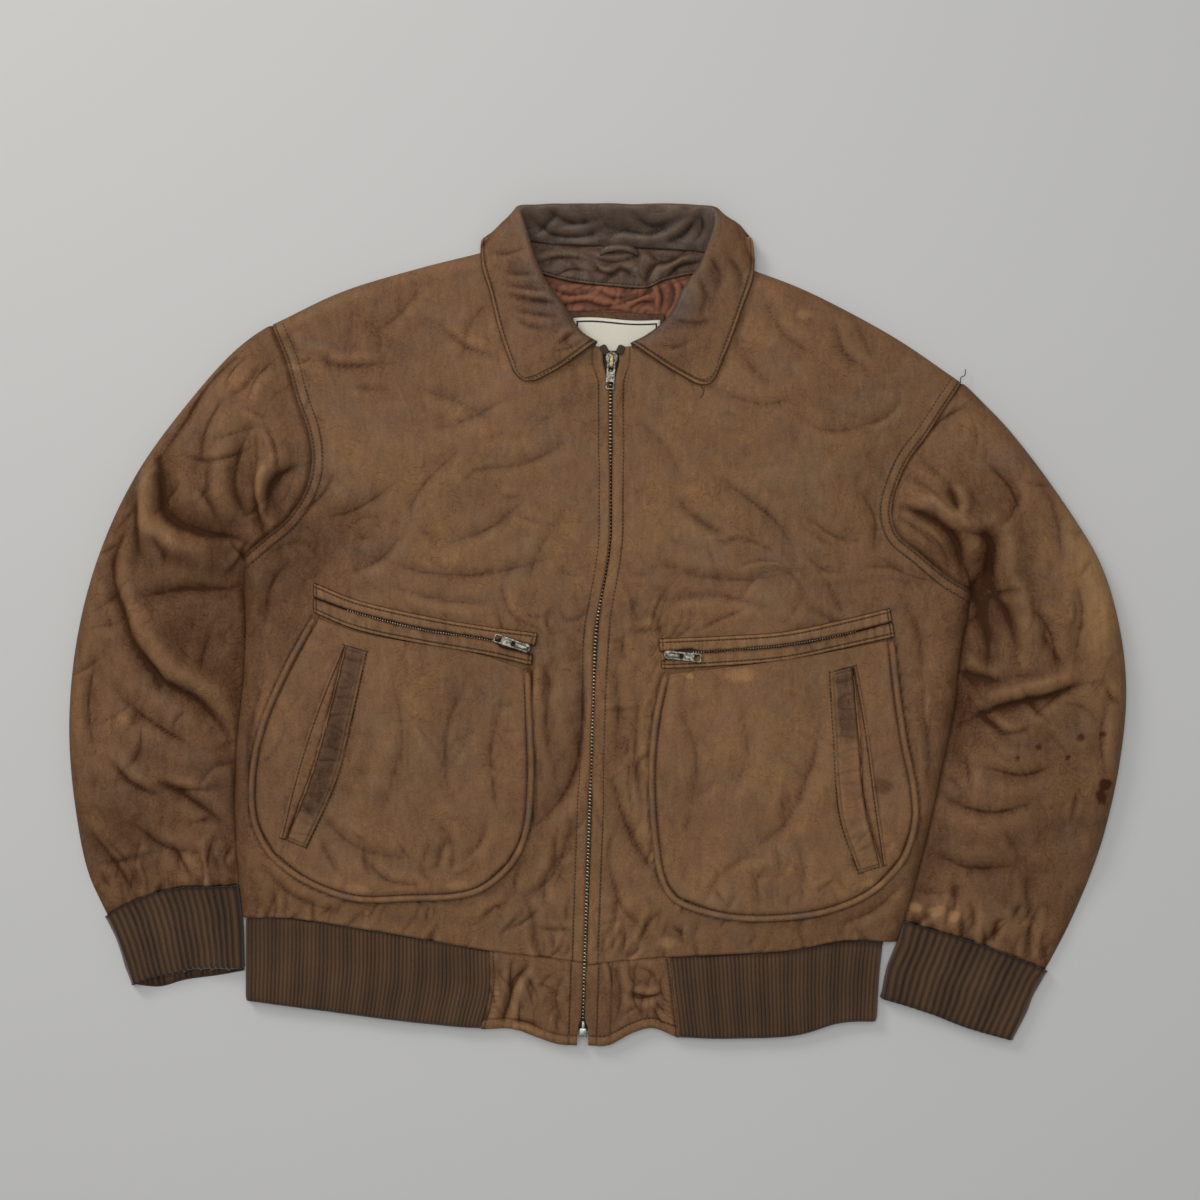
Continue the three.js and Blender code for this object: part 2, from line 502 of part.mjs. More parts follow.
function hemTab(o) {
  const rows = evenly(0, 1, 4);
  const columns = evenly(0, 1, 5);
  const hem = curveThrough(o.hem);
  const tabShare = shareAtX(hem, o.tabSeam[0][0]);
  const innerX = (y) => zipX(y) + o.sign * (zipGap(y) + 1.5 * smooth((-330 - y) / 30));
  const topLine = columns.map((c) => hem(c * tabShare)).map((p) => p.setY(p.y - seam - 0.3));
  const endLine = columns.map(curveThrough(o.tabEnd));
  const seamEdge = rows.map(curveThrough(o.tabSeam)).map((p) => p.add(point(-o.sign * seam, 0)));
  const zipEdge = rows.map((t) => {
    const y = THREE.MathUtils.lerp(topLine[0].y, endLine[0].y, t);
    return point(innerX(y), y);
  });
  topLine[0] = zipEdge[0];
  endLine[0] = zipEdge[zipEdge.length - 1];
  seamEdge[0].y = topLine[topLine.length - 1].y;
  topLine[topLine.length - 1] = seamEdge[0];
  endLine[endLine.length - 1] = seamEdge[seamEdge.length - 1];
  const flat = patch({ inner: zipEdge, outer: seamEdge, bottom: topLine, top: endLine, us: rows, vs: columns });
  return clothWall(faceUp(withHeight(flat, bodyHeight), -o.sign), cloth.tab);
}

// ---- Collar and the inside of the neck --------------------------------------------------------------------------

function collar() {
  const alongNeck = 26;
  const alongSection = 10;
  const sections = collarSections.map((s) => {
    const [neck, roll, top, fall, edge] = [s.neck, s.roll, s.top, s.fall, s.edge].map((p) => point(...p));
    const standMiddle = mix(neck, roll, 0.5).add(point(0, 0, -1));
    return new THREE.CatmullRomCurve3([neck, standMiddle, roll, top, fall, edge], false, "centripetal");
  });
  const across = evenly(0, 1, alongSection).map((t) => {
    const points = sections.map((s) => s.getPoint(t));
    return new THREE.CatmullRomCurve3(points, false, "centripetal");
  });
  const rows = evenly(0, 1, alongNeck).map((t) => across.map((curve) => curve.getPoint(t)));
  const cleared = rows.map((row) => row.map((p, k) => {
    const overPanel = k > alongSection * 0.6 ? bodyHeight(p.x, p.y) + cloth.collar + lay + 0.5 : 0;
    const beyondShoulder = p.y > 334 || p.z < 6;
    return beyondShoulder ? p : p.setZ(Math.max(p.z, overPanel));
  }));
  return clothWall(cleared.map((row) => [...row].reverse()), cloth.collar, { lowest: 0.3 });
}

function flatPiece(points, bottomHeight, thickness) {
  const shape = new THREE.Shape(points.map((p) => new THREE.Vector2(...p)));
  const geometry = new THREE.ExtrudeGeometry(shape, { depth: thickness, bevelEnabled: false });
  return geometry.translate(0, 0, bottomHeight);
}

const neckPieces = {
  facing: [[-62, 318], [-30, 316.5], [16, 315], [60, 314.5], [92, 311], [88, 298], [52, 294], [16, 291], [-26, 295],
    [-58, 303]],
  lining: [[-60, 301], [-26, 294.4], [16, 290.4], [52, 293.4], [90, 297], [96, 262], [80, 200], [-48, 200], [-64, 262]],
  label: [[-20, 266], [16, 265.5], [53, 264], [53, 222], [-20, 222]],
};

// The hanger loop stands a little proud of the neck seam.
function hangerLoop() {
  const arch = [[3, 6.2], [8, 8.4], [19, 9.2], [30, 8.4], [35, 6.2]].map(([x, z]) => point(x, 315.5, z));
  const curve = new THREE.CatmullRomCurve3(arch);
  const rows = [0, 1].map((side) => sample((t) => curve.getPointAt(t).add(point(0, side * 5, side * 1.5)), 8));
  return clothWall(rows, 1.4);
}

// ---- Pockets ----------------------------------------------------------------------------------------------------

const patchTop = lay + cloth.patch;

// The pocket panel is cut back from the piping that runs round it and from the zip welt above it.
function pocketPanel(o) {
  const inset = 3.6;
  const moved = (points, distance) => {
    const line = movedSideways(sample(curveThrough(points), 12), distance);
    return curveThrough(line.map((p) => [p.x, p.y]));
  };
  const side = moved(o.pocketSide, -o.sign * inset);
  const end = moved(o.pocketEnd, -o.sign * inset);
  const inner = moved(o.pocketInner, o.sign * inset);
  const top = moved(o.pocketTop, o.sign * 1.6);
  const corner = (a, b) => mix(a, b, 0.5);
  const ends = {
    topOuter: corner(side(0), top(0)), topInner: corner(inner(0), top(1)),
    endOuter: corner(side(1), end(0)), endInner: corner(inner(1), end(1)),
  };
  const pinned = (curve, from, to) => (t) => {
    const shift = mix(from.clone().sub(curve(0)), to.clone().sub(curve(1)), t);
    return curve(t).add(shift);
  };
  const edgesOf = {
    inner: pinned((t) => inner(1 - t), ends.endInner, ends.topInner),
    outer: pinned((t) => side(1 - t), ends.endOuter, ends.topOuter),
    bottom: pinned((t) => end(1 - t), ends.endInner, ends.endOuter),
    top: pinned((t) => top(1 - t), ends.topInner, ends.topOuter),
  };
  return laidPatch(edgesOf, 8, 8, patchTop, cloth.patch, o.sign);
}

const pipingRadius = 1.9;

function piping(o) {
  const path = [...o.pocketSide, ...o.pocketEnd.slice(1), ...[...o.pocketInner].reverse().slice(1)];
  const line = sample(curveThrough(path), 30);
  const raised = line.map((p) => p.setZ(bodyHeight(p.x, p.y) + 0.5 + pipingRadius));
  const section = new THREE.Shape(evenly(0, 2 * Math.PI, 8).slice(0, -1)
    .map((a) => new THREE.Vector2(pipingRadius * Math.cos(a), pipingRadius * Math.sin(a))));
  const extrudePath = new THREE.CatmullRomCurve3(raised);
  return new THREE.ExtrudeGeometry(section, { steps: 34, extrudePath, bevelEnabled: false });
}

// A strip between two curves, lying on the panels.
function strip(from, to, columns, above, thickness, sign, gapFrom = () => 0, gapTo = () => 0) {
  const [a, b] = [curveThrough(from), curveThrough(to)];
  const shares = evenly(0, 1, columns);
  const near = shares.map((t) => a(t));
  const far = shares.map((t) => b(t));
  const rows = [0, 1].map((side) => shares.map((t, k) => {
    const across = far[k].clone().sub(near[k]).normalize();
    return side ? far[k].clone().addScaledVector(across, -gapTo(t)) : near[k].clone().addScaledVector(across, gapFrom(t));
  }));
  const lifted = withHeight(rows, (x, y) => bodyHeight(x, y) + above);
  return clothWall(faceUp(lifted, sign), thickness);
}

// The lips of the pocket zip part round the slider, at the end nearest the jacket's own zip.
const lipGap = (t) => 1.1 + 4.4 * smooth((t - 0.83) / 0.05);

// ---- Zip hardware -----------------------------------------------------------------------------------------------

const slider = { length: 11, width: 8, depth: 2.6, archWidth: 2.2, archInside: 2.3, archBar: 0.9, foot: 1, archLength: 9 };
const pull = { width: 7.4, length: 27, plate: 1.2, bar: 1.3, slot: [3.6, 6], window: [4.4, 5], rim: 1.3 };
const hingeHeight = slider.archInside / 2;

function box(length, width, depth, x, y, z) {
  return new THREE.BoxGeometry(length, width, depth).translate(x, y, z);
}

// The slider's body, seen from above: it narrows towards the pull's tip, where the closed teeth leave it.
function sliderBody() {
  const [half, side] = [slider.length / 2, slider.width / 2];
  const outline = [[-half, -0.75 * side], [1 - half, -side], [0, -side], [half, -0.7 * side]];
  const mirrored = outline.map(([x, y]) => [x, -y]).reverse();
  const shape = new THREE.Shape([...outline, ...mirrored].map((p) => new THREE.Vector2(...p)));
  return new THREE.ExtrudeGeometry(shape, { depth: slider.depth, bevelEnabled: false })
    .translate(0, 0, -slider.depth);
}

// The arch that holds the pull, cut along the zip and standing on the body. Local +X points to the pull.
function sliderArch() {
  const half = slider.archLength / 2;
  const inside = half - slider.foot;
  const top = slider.archInside + slider.archBar;
  const profile = [[-half, 0.3], [-inside, 0.3], [-inside, slider.archInside], [inside, slider.archInside],
    [inside, 0.3], [half, 0.3], [half, slider.archInside], [half - 0.6, top], [-half + 0.6, top],
    [-half, slider.archInside]];
  const shape = new THREE.Shape(profile.map((p) => new THREE.Vector2(...p)));
  return new THREE.ExtrudeGeometry(shape, { depth: slider.archWidth, bevelEnabled: false })
    .translate(0, 0, -slider.archWidth / 2).rotateX(Math.PI / 2);
}

// The pull: a plate whose first bar sits in the slider's arch, with a window near its tip.
function pullGeometry() {
  const half = pull.width / 2;
  const start = -pull.bar / 2;
  const outline = new THREE.Shape([[start, -half + 0.8], [3, -half], [pull.length - 1.5, -half + 0.6],
    [pull.length, -half + 1.8], [pull.length, half - 1.8], [pull.length - 1.5, half - 0.6], [3, half],
    [start, half - 0.8]].map((p) => new THREE.Vector2(...p)));
  const hole = (from, length, width) => new THREE.Path([[from, -width / 2], [from + length, -width / 2],
    [from + length, width / 2], [from, width / 2]].map((p) => new THREE.Vector2(...p)));
  outline.holes.push(hole(pull.bar / 2, pull.slot[1], pull.slot[0]));
  outline.holes.push(hole(pull.length - pull.rim - pull.window[1], pull.window[1], pull.window[0]));
  return new THREE.ExtrudeGeometry(outline, { depth: pull.plate, bevelEnabled: false })
    .translate(0, 0, -pull.plate / 2);
}

// A slider with its pull, turned so that the pull points along "angle", its body's top at "z".
function sliderWithPull(prefix, x, y, z, angle) {
  const group = new THREE.Group();
  group.position.set(x, y, z);
  group.rotation.z = angle;
  group.add(sewn(`${prefix}_slider`, sliderBody(), materials.metal));
  group.add(sewn(`${prefix}_slider_arch`, sliderArch(), materials.bright));
  const tab = sewn(`${prefix}_pull`, pullGeometry(), materials.metal);
  tab.position.z = hingeHeight;
  group.add(tab);
  return group;
}

const mainSlider = { x: 12, y: 229, angle: -Math.PI / 2 - 0.06 };
const chainTop = mainSlider.y - slider.length / 2 - 0.5;

// A strip that follows the zip under the edges of the leather, between two distances from its middle.
function zipStrip(from, to, below, depth, lowest) {
  const places = evenly(lowest, chainTop, 24);
  const rows = places.map((y) => [from, to].map((x) => {
    const middle = zipX(y);
    return point(middle + x, y, bodyHeight(middle, y) - below);
  }));
  return clothWall(rows, depth);
}

// ---- The jacket -------------------------------------------------------------------------------------------------

const jacket = new THREE.Group();
jacket.add(sewn("back", backPanel(), materials.leather));
jacket.add(sewn("hem_band", hemBand(), materials.rib));
jacket.add(sewn("collar", collar(), materials.leather));
jacket.add(sewn("neck_facing", flatPiece(neckPieces.facing, cloth.back + 0.4, 1.6), materials.darkLeather));
jacket.add(sewn("lining", flatPiece(neckPieces.lining, cloth.back + 0.4, cloth.lining), materials.satin));
jacket.add(sewn("label", flatPiece(neckPieces.label, cloth.back + cloth.lining + 0.8, cloth.lining), materials.label));
jacket.add(sewn("hanger_loop", hangerLoop(), materials.darkLeather));

for (const [wearer, o] of Object.entries(outlines)) {
  jacket.add(sewn(`front_${wearer}`, frontPanel(o), materials.leather));
  jacket.add(sewn(`sleeve_top_${wearer}`, sleeveTop(o), materials.leather));
  jacket.add(sewn(`sleeve_under_${wearer}`, sleeveUnder(o), materials.leather));
  jacket.add(sewn(`cuff_${wearer}`, cuff(o), materials.rib));
  jacket.add(sewn(`hem_tab_${wearer}`, hemTab(o), materials.leather));
  jacket.add(sewn(`pocket_${wearer}`, pocketPanel(o), materials.leather));
  jacket.add(sewn(`pocket_piping_${wearer}`, piping(o), materials.leather));
  const { welt, hand } = o;
  jacket.add(sewn(`zip_welt_upper_${wearer}`,
    strip(welt.zip, welt.top, 9, patchTop, cloth.patch, -o.sign, lipGap), materials.leather));
  jacket.add(sewn(`zip_welt_lower_${wearer}`,
    strip(welt.bottom, welt.zip, 9, patchTop, cloth.patch, -o.sign, () => 0, lipGap), materials.leather));
  const onPocket = patchTop + lay + cloth.patch;
  jacket.add(sewn(`hand_welt_${wearer}`,
    strip(hand.slit, hand.inner, 6, onPocket, cloth.patch, -o.sign, () => 0.5), materials.darkLeather));
  jacket.add(sewn(`hand_lip_${wearer}`,
    strip(hand.slit, hand.outer, 6, onPocket, cloth.patch, o.sign, () => 0.5), materials.leather));
}

const chainBelow = cloth.leather + 1.2;
const halfChain = zip.chainWidth / 2;
const tapeEdge = halfChain + 0.3;
jacket.add(sewn("zip_chain",
  zipStrip(-halfChain, halfChain, chainBelow, zip.chainDepth, zip.bottom + 6), materials.metal));
jacket.add(sewn("zip_tape_right",
  zipStrip(-tapeEdge - zip.tapeWidth, -tapeEdge, chainBelow + 0.3, zip.tapeDepth, zip.bottom + 6), materials.tape));
jacket.add(sewn("zip_tape_left",
  zipStrip(tapeEdge, tapeEdge + zip.tapeWidth, chainBelow + 0.3, zip.tapeDepth, zip.bottom + 6), materials.tape));

const pinBox = { length: 8, width: 5, depth: 3.4 };
const pinBoxY = zip.bottom + 1.5;
jacket.add(sewn("zip_pin_box", box(pinBox.width, pinBox.length, pinBox.depth, zipX(pinBoxY), pinBoxY,
  bodyHeight(zipX(pinBoxY), pinBoxY) - chainBelow), materials.bright));

jacket.add(sliderWithPull("main", mainSlider.x, mainSlider.y,
  bodyHeight(mainSlider.x, mainSlider.y) + 0.4, mainSlider.angle));

const pocketSliders = {
  right: { x: -63, y: -18.5, angle: Math.PI - 0.33 },
  left: { x: 62, y: -25, angle: -0.1 },
};
for (const [wearer, s] of Object.entries(pocketSliders)) {
  const top = bodyHeight(s.x, s.y) + 0.5 + slider.depth;
  jacket.add(sliderWithPull(`pocket_${wearer}`, s.x, s.y, top, s.angle));
}

export default jacket;
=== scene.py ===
# A worn leather flight jacket, zipped shut and laid on its back.
# Lengths here are in millimetres; a mesh is made in metres, in the frame's own axes:
# x to the wearer's left, y from hem to collar, z up from the floor.
import json
import math

import bmesh
import bpy
import numpy as np
from mathutils import Matrix, Vector
from mathutils.bvhtree import BVHTree

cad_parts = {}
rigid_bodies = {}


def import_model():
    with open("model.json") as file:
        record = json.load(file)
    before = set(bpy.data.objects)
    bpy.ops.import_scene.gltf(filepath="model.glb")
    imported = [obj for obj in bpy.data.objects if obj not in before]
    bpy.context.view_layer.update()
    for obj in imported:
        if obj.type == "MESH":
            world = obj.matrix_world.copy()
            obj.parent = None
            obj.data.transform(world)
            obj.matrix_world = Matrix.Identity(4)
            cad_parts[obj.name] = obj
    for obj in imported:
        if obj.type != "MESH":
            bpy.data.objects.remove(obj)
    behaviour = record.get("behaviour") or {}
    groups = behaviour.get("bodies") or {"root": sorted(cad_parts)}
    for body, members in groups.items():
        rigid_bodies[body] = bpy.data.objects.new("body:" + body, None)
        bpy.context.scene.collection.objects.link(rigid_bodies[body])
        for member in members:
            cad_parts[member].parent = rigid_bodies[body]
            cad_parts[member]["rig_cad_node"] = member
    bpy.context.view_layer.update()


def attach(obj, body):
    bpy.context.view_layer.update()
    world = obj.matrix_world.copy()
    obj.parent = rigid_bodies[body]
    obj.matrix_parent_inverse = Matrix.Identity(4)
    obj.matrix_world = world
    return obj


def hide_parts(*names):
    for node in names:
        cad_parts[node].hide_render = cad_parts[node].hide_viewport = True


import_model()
mm = 0.001

print("frame loaded")


def evenly(count):
    return np.linspace(0, 1, count)


def smoothStep(t):
    t = np.clip(t, 0, 1)
    return t * t * (3 - 2 * t)


def roundOver(distance, reach):
    return np.sqrt(np.clip(1 - (1 - np.clip(distance / reach, 0, 1)) ** 2, 0, 1))


def bell(distance, width):
    return np.exp(-(distance / width) ** 2)


def splineThrough(points, steps=24):
    # a centripetal Catmull-Rom curve, with the same number of steps between each two of its points
    p = np.array(points, dtype=float)
    p = np.vstack([2 * p[0] - p[1], p, 2 * p[-1] - p[-2]])
    dense = []
    for k in range(1, len(p) - 2):
        knots = [0.0]
        for a, b in zip(p[k - 1:k + 2], p[k:k + 3]):
            knots.append(knots[-1] + max(np.linalg.norm(b - a), 1e-6) ** 0.5)
        t = np.linspace(knots[1], knots[2], steps, endpoint=False)[:, None]
        a1, a2, a3 = [((knots[j + 1] - t) * p[k - 1 + j] + (t - knots[j]) * p[k + j]) / (knots[j + 1] - knots[j])
                      for j in range(3)]
        b1 = ((knots[2] - t) * a1 + (t - knots[0]) * a2) / (knots[2] - knots[0])
        b2 = ((knots[3] - t) * a2 + (t - knots[1]) * a3) / (knots[3] - knots[1])
        dense.append(((knots[2] - t) * b1 + (t - knots[1]) * b2) / (knots[2] - knots[1]))
    return np.vstack(dense + [p[-2]])


def smoothLine(points, count=80):
    # the same curve in even steps
    return pointsAlong(splineThrough(points), evenly(count + 1))


def pointsAlong(line, shares):
    steps = np.linalg.norm(np.diff(line, axis=0), axis=1)
    along = np.concatenate([[0], np.cumsum(steps)])
    return np.stack([np.interp(np.asarray(shares) * along[-1], along, line[:, k]) for k in range(line.shape[1])], 1)


def lineLength(line):
    return float(np.linalg.norm(np.diff(line, axis=0), axis=1).sum())


def nearestOn(line, x, y):
    # distance of each place from a line, its side (left is above zero) and the share along the line
    shape = np.shape(x)
    x, y = np.ravel(x), np.ravel(y)
    best = np.full(x.shape, 1e9)
    side = np.ones(x.shape)
    share = np.zeros(x.shape)
    for k in range(len(line) - 1):
        a, d = line[k][:2], line[k + 1][:2] - line[k][:2]
        t = np.clip(((x - a[0]) * d[0] + (y - a[1]) * d[1]) / max(d @ d, 1e-9), 0, 1)
        distance = np.hypot(x - a[0] - t * d[0], y - a[1] - t * d[1])
        nearer = distance < best
        best = np.where(nearer, distance, best)
        side = np.where(nearer, np.sign(d[0] * (y - a[1]) - d[1] * (x - a[0])), side)
        share = np.where(nearer, (k + t) / (len(line) - 1), share)
    return best.reshape(shape), side.reshape(shape), share.reshape(shape)


def distanceTo(line, x, y):
    return nearestOn(line, x, y)[0]


def movedSideways(line, distance):
    # to the left where the distance is above zero; it may change along the line
    along = np.gradient(line[:, :2], axis=0)
    along /= np.linalg.norm(along, axis=1)[:, None]
    moved = line.copy()
    moved[:, 0] -= along[:, 1] * distance
    moved[:, 1] += along[:, 0] * distance
    return moved


def cloudNoise(x, y, size, seed):
    # smooth noise from -1 to 1 whose lumps are about "size" across
    table = np.random.default_rng(seed).uniform(0, 2 * math.pi, (64, 64))
    x, y = np.asarray(x) / size + 517.3, np.asarray(y) / size + 811.9
    column, row = np.floor(x).astype(int), np.floor(y).astype(int)
    fx, fy = x - column, y - row
    total = 0
    for dx in (0, 1):
        for dy in (0, 1):
            angle = table[(column + dx) % 64, (row + dy) % 64]
            slope = np.cos(angle) * (fx - dx) + np.sin(angle) * (fy - dy)
            weightX = 1 - smoothStep(np.abs(fx - dx))
            weightY = 1 - smoothStep(np.abs(fy - dy))
            total = total + slope * weightX * weightY
    return total * 1.5


def crumple(x, y, size, seed, stretch=1.0, turn=0.0):
    # thin valleys between soft swells: 0 on the swells, -1 in the valleys
    c, s = math.cos(turn), math.sin(turn)
    u, v = (x * c + y * s) / stretch, -x * s + y * c
    bentU = u + size * 0.5 * cloudNoise(x, y, size * 1.7, seed + 1)
    bentV = v + size * 0.5 * cloudNoise(x, y, size * 1.7, seed + 2)
    return -np.clip(1 - 3.2 * np.abs(cloudNoise(bentU, bentV, size, seed)), 0, 1) ** 1.5


def coons(inner, outer, bottom, top, us, vs):
    # a patch between four lines; rows run along "inner" and "outer", columns along "bottom" and "top"
    u = np.asarray(us)[:, None, None]
    v = np.asarray(vs)[None, :, None]
    sides = inner[:, None] * (1 - v) + outer[:, None] * v
    ends = bottom[None] * (1 - u) + top[None] * u
    corners = (inner[0] * (1 - v) + outer[0] * v) * (1 - u) + (inner[-1] * (1 - v) + outer[-1] * v) * u
    return sides + ends - corners


def placed(name, data):
    piece = bpy.data.objects.new(name, data)
    bpy.context.scene.collection.objects.link(piece)
    return piece


def newPiece(name, vertices, faces, material, attributes=None):
    mesh = bpy.data.meshes.new(name)
    mesh.from_pydata((np.asarray(vertices) * mm).tolist(), [], faces)
    mesh.update()
    mesh.polygons.foreach_set("use_smooth", [True] * len(mesh.polygons))
    for key, values in (attributes or {}).items():
        layer = mesh.attributes.new(key, "FLOAT", "POINT")
        layer.data.foreach_set("value", np.ravel(values).astype(np.float32))
    mesh.materials.append(material)
    return placed(name, mesh)


def gridFaces(rows, columns, ringFrom=None, flip=False):
    faces = []
    for i in range(rows - 1):
        spans = columns if ringFrom is not None and i >= ringFrom else columns - 1
        for j in range(spans):
            k = (j + 1) % columns
            face = (i * columns + j, i * columns + k, (i + 1) * columns + k, (i + 1) * columns + j)
            faces.append(face[::-1] if flip else face)
    return faces


def applyModifiers(piece):
    # the evaluated mesh takes the place of the piece's own, and no modifier is left
    bpy.context.view_layer.update()
    evaluated = piece.evaluated_get(bpy.context.evaluated_depsgraph_get())
    mesh = bpy.data.meshes.new_from_object(evaluated)
    mesh.name = piece.data.name
    piece.modifiers.clear()
    piece.data = mesh


def clothPiece(name, replaced, grid, thickness, material, attributes=None, wearer=None, ringFrom=None,
               flip=False, lowest=0.0, ribs=None):
    # a thin closed shell whose shown face is the grid (rows, columns, xyz), riding on the jacket
    if wearer:
        name, replaced = name + wearer.title(), replaced and f"{replaced}_{wearer}"
    rows, columns = grid.shape[:2]
    piece = newPiece(name, grid.reshape(-1, 3), gridFaces(rows, columns, ringFrom, flip), material, attributes)
    if ribs:
        setInputs(piece.modifiers.new("ribs", "NODES"), ribTree, {**ribs, "Material": material})
    shell = piece.modifiers.new("thickness", "SOLIDIFY")
    shell.thickness = thickness * mm
    shell.offset = -1
    applyModifiers(piece)
    heights = np.empty(len(piece.data.vertices) * 3, dtype=np.float32)
    piece.data.vertices.foreach_get("co", heights)
    heights = heights.reshape(-1, 3)
    heights[:, 2] = np.maximum(heights[:, 2], lowest * mm)
    piece.data.vertices.foreach_set("co", heights.ravel())
    piece.data.update()
    finished(piece, "jacket", replaced)


def finished(piece, body, replaced=None):
    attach(piece, body)
    if replaced:
        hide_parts(replaced)


def linear(colour):
    # an sRGB hex colour as linear red, green, blue and alpha
    parts = [int(colour[k:k + 2], 16) / 255 for k in (1, 3, 5)]
    return [c / 12.92 if c <= 0.04045 else ((c + 0.055) / 1.055) ** 2.4 for c in parts] + [1.0]


def feed(tree, node, values):
    # an input, told by its place or name, takes a value, an output socket or the first output of a node
    for place, value in values.items():
        source = value.outputs[0] if isinstance(value, bpy.types.Node) else value
        if isinstance(source, bpy.types.NodeSocket):
            tree.links.new(source, node.inputs[place])
        else:
            node.inputs[place].default_value = source


def add(tree, kind, *values, **named):
    # one node: values fill its inputs in order, small words are settings, capitals name an input, "i6" is its place
    node = tree.nodes.new(kind if "Node" in kind else "ShaderNode" + kind)
    places = dict(enumerate(values))
    for key, value in named.items():
        if key[1:].isdigit():
            places[int(key[1:])] = value
        elif key[0].islower():
            setattr(node, key, value)
        else:
            places[key] = value
    feed(tree, node, places)
    return node


def size(millimetres):
    # the scale of a texture on Object coordinates whose features are this far apart
    return 1000 / millimetres


def newTree(name, inputs):
    # a geometry node group with named inputs
    tree = bpy.data.node_groups.new(name, "GeometryNodeTree")
    for key, kind in {"Geometry": "Geometry", **inputs, "Material": "Material"}.items():
        tree.interface.new_socket(key, in_out="INPUT", socket_type="NodeSocket" + kind)
    tree.interface.new_socket("Geometry", in_out="OUTPUT", socket_type="NodeSocketGeometry")
    return tree, add(tree, "NodeGroupInput").outputs


def endTree(tree, given, last):
    real = add(tree, "GeometryNodeRealizeInstances", last)
    add(tree, "NodeGroupOutput", add(tree, "GeometryNodeSetMaterial", real, Material=given["Material"]))


def setInputs(modifier, tree, values):
    # lengths are given in millimetres
    modifier.node_group = tree
    for item in tree.interface.items_tree:
        if item.item_type == "SOCKET" and item.in_out == "INPUT" and item.name in values:
            value = values[item.name]
            modifier[item.identifier] = value * mm if isinstance(value, (int, float)) else value


# knitted ribs: the cloth is pushed in and out along its normal, once for each pitch of the "ribAcross" attribute
ribTree, ribIn = newTree("knitted ribs", {"Pitch": "Float", "Depth": "Float"})
ribPlace, ribFade = [add(ribTree, "GeometryNodeInputNamedAttribute", data_type="FLOAT", Name=name)
                     for name in ("ribAcross", "ribFade")]
ribTurns = add(ribTree, "Math", ribPlace, ribIn["Pitch"], operation="DIVIDE")
ribWave = add(ribTree, "Math", add(ribTree, "Math", ribTurns, math.pi, operation="MULTIPLY"), operation="SINE")
ribRound = add(ribTree, "Math", add(ribTree, "Math", ribWave, operation="ABSOLUTE"), 0.7, operation="POWER")
ribDepth = add(ribTree, "Math", ribRound, ribIn["Depth"], operation="MULTIPLY")
ribFaded = add(ribTree, "Math", ribDepth, ribFade, operation="MULTIPLY")
ribOffset = add(ribTree, "VectorMath", add(ribTree, "GeometryNodeInputNormal"), operation="SCALE", Scale=ribFaded)
endTree(ribTree, ribIn, add(ribTree, "GeometryNodeSetPosition", ribIn["Geometry"], Offset=ribOffset))


def repeatTree(name, primitive, direction, **shapeInputs):
    # small shapes in even steps along chains of points; each is drawn along its own z, turned to "direction"
    tree, given = newTree(name, {"Step": "Float", "Length": "Float", "Width": "Float", "Height": "Float"})
    curve = add(tree, "GeometryNodeMeshToCurve", given["Geometry"])
    steps = add(tree, "GeometryNodeResampleCurve", curve, mode="LENGTH", Length=given["Step"])
    shape = add(tree, primitive, **shapeInputs)
    tangent = add(tree, "GeometryNodeInputTangent")
    across = add(tree, "VectorMath", (0.0, 0.0, 1.0), tangent, operation="CROSS_PRODUCT")
    turn = add(tree, "FunctionNodeAlignRotationToVector", axis="Z",
               Vector=tangent if direction == "along" else across)
    scale = add(tree, "CombineXYZ", given["Height"], given["Width"], given["Length"])
    endTree(tree, given, add(tree, "GeometryNodeInstanceOnPoints", steps, Instance=shape, Rotation=turn, Scale=scale))
    return tree


stitchTree = repeatTree("stitches", "GeometryNodeMeshUVSphere", "along", Segments=8, Rings=5, Radius=0.5)
toothTree = repeatTree("zip teeth", "GeometryNodeMeshCylinder", "across", Vertices=10, Radius=0.5, Depth=1.0)


def repeated(name, replaced, chains, tree, material, step, length, width, height):
    # one piece from chains of points in millimetres
    vertices, edges = [], []
    for chain in chains:
        start = len(vertices)
        vertices += [tuple(p) for p in np.asarray(chain) * mm]
        edges += [(start + k, start + k + 1) for k in range(len(chain) - 1)]
    mesh = bpy.data.meshes.new(name)
    mesh.from_pydata(vertices, edges, [])
    piece = placed(name, mesh)
    setInputs(piece.modifiers.new("repeat", "NODES"), tree,
              {"Step": step, "Length": length, "Width": width, "Height": height, "Material": material})
    applyModifiers(piece)
    piece.data.polygons.foreach_set("use_smooth", [True] * len(piece.data.polygons))
    finished(piece, "jacket", replaced)


def newMaterial(name):
    material = bpy.data.materials.new(name)
    material.use_nodes = True
    tree = material.node_tree
    tree.nodes.clear()
    shader = add(tree, "BsdfPrincipled")
    add(tree, "OutputMaterial", shader)
    return material, tree, shader, add(tree, "TexCoord").outputs["Object"]


leather = {
    "dark": "#3f2617", "deep": "#5d3f27", "middle": "#775534", "pale": "#977248",
    "redder": "#8a5d44", "greyer": "#796750", "wornDark": "#2f2622", "wornPale": "#655449",
    "blotchSize": 85, "mottleSize": 34, "streakSize": 7, "speckSize": 2.6, "grainSize": 1.3, "wrinkleSize": 24,
    "roughness": 0.66, "shine": 0.3, "wrinkles": 0.5,
}


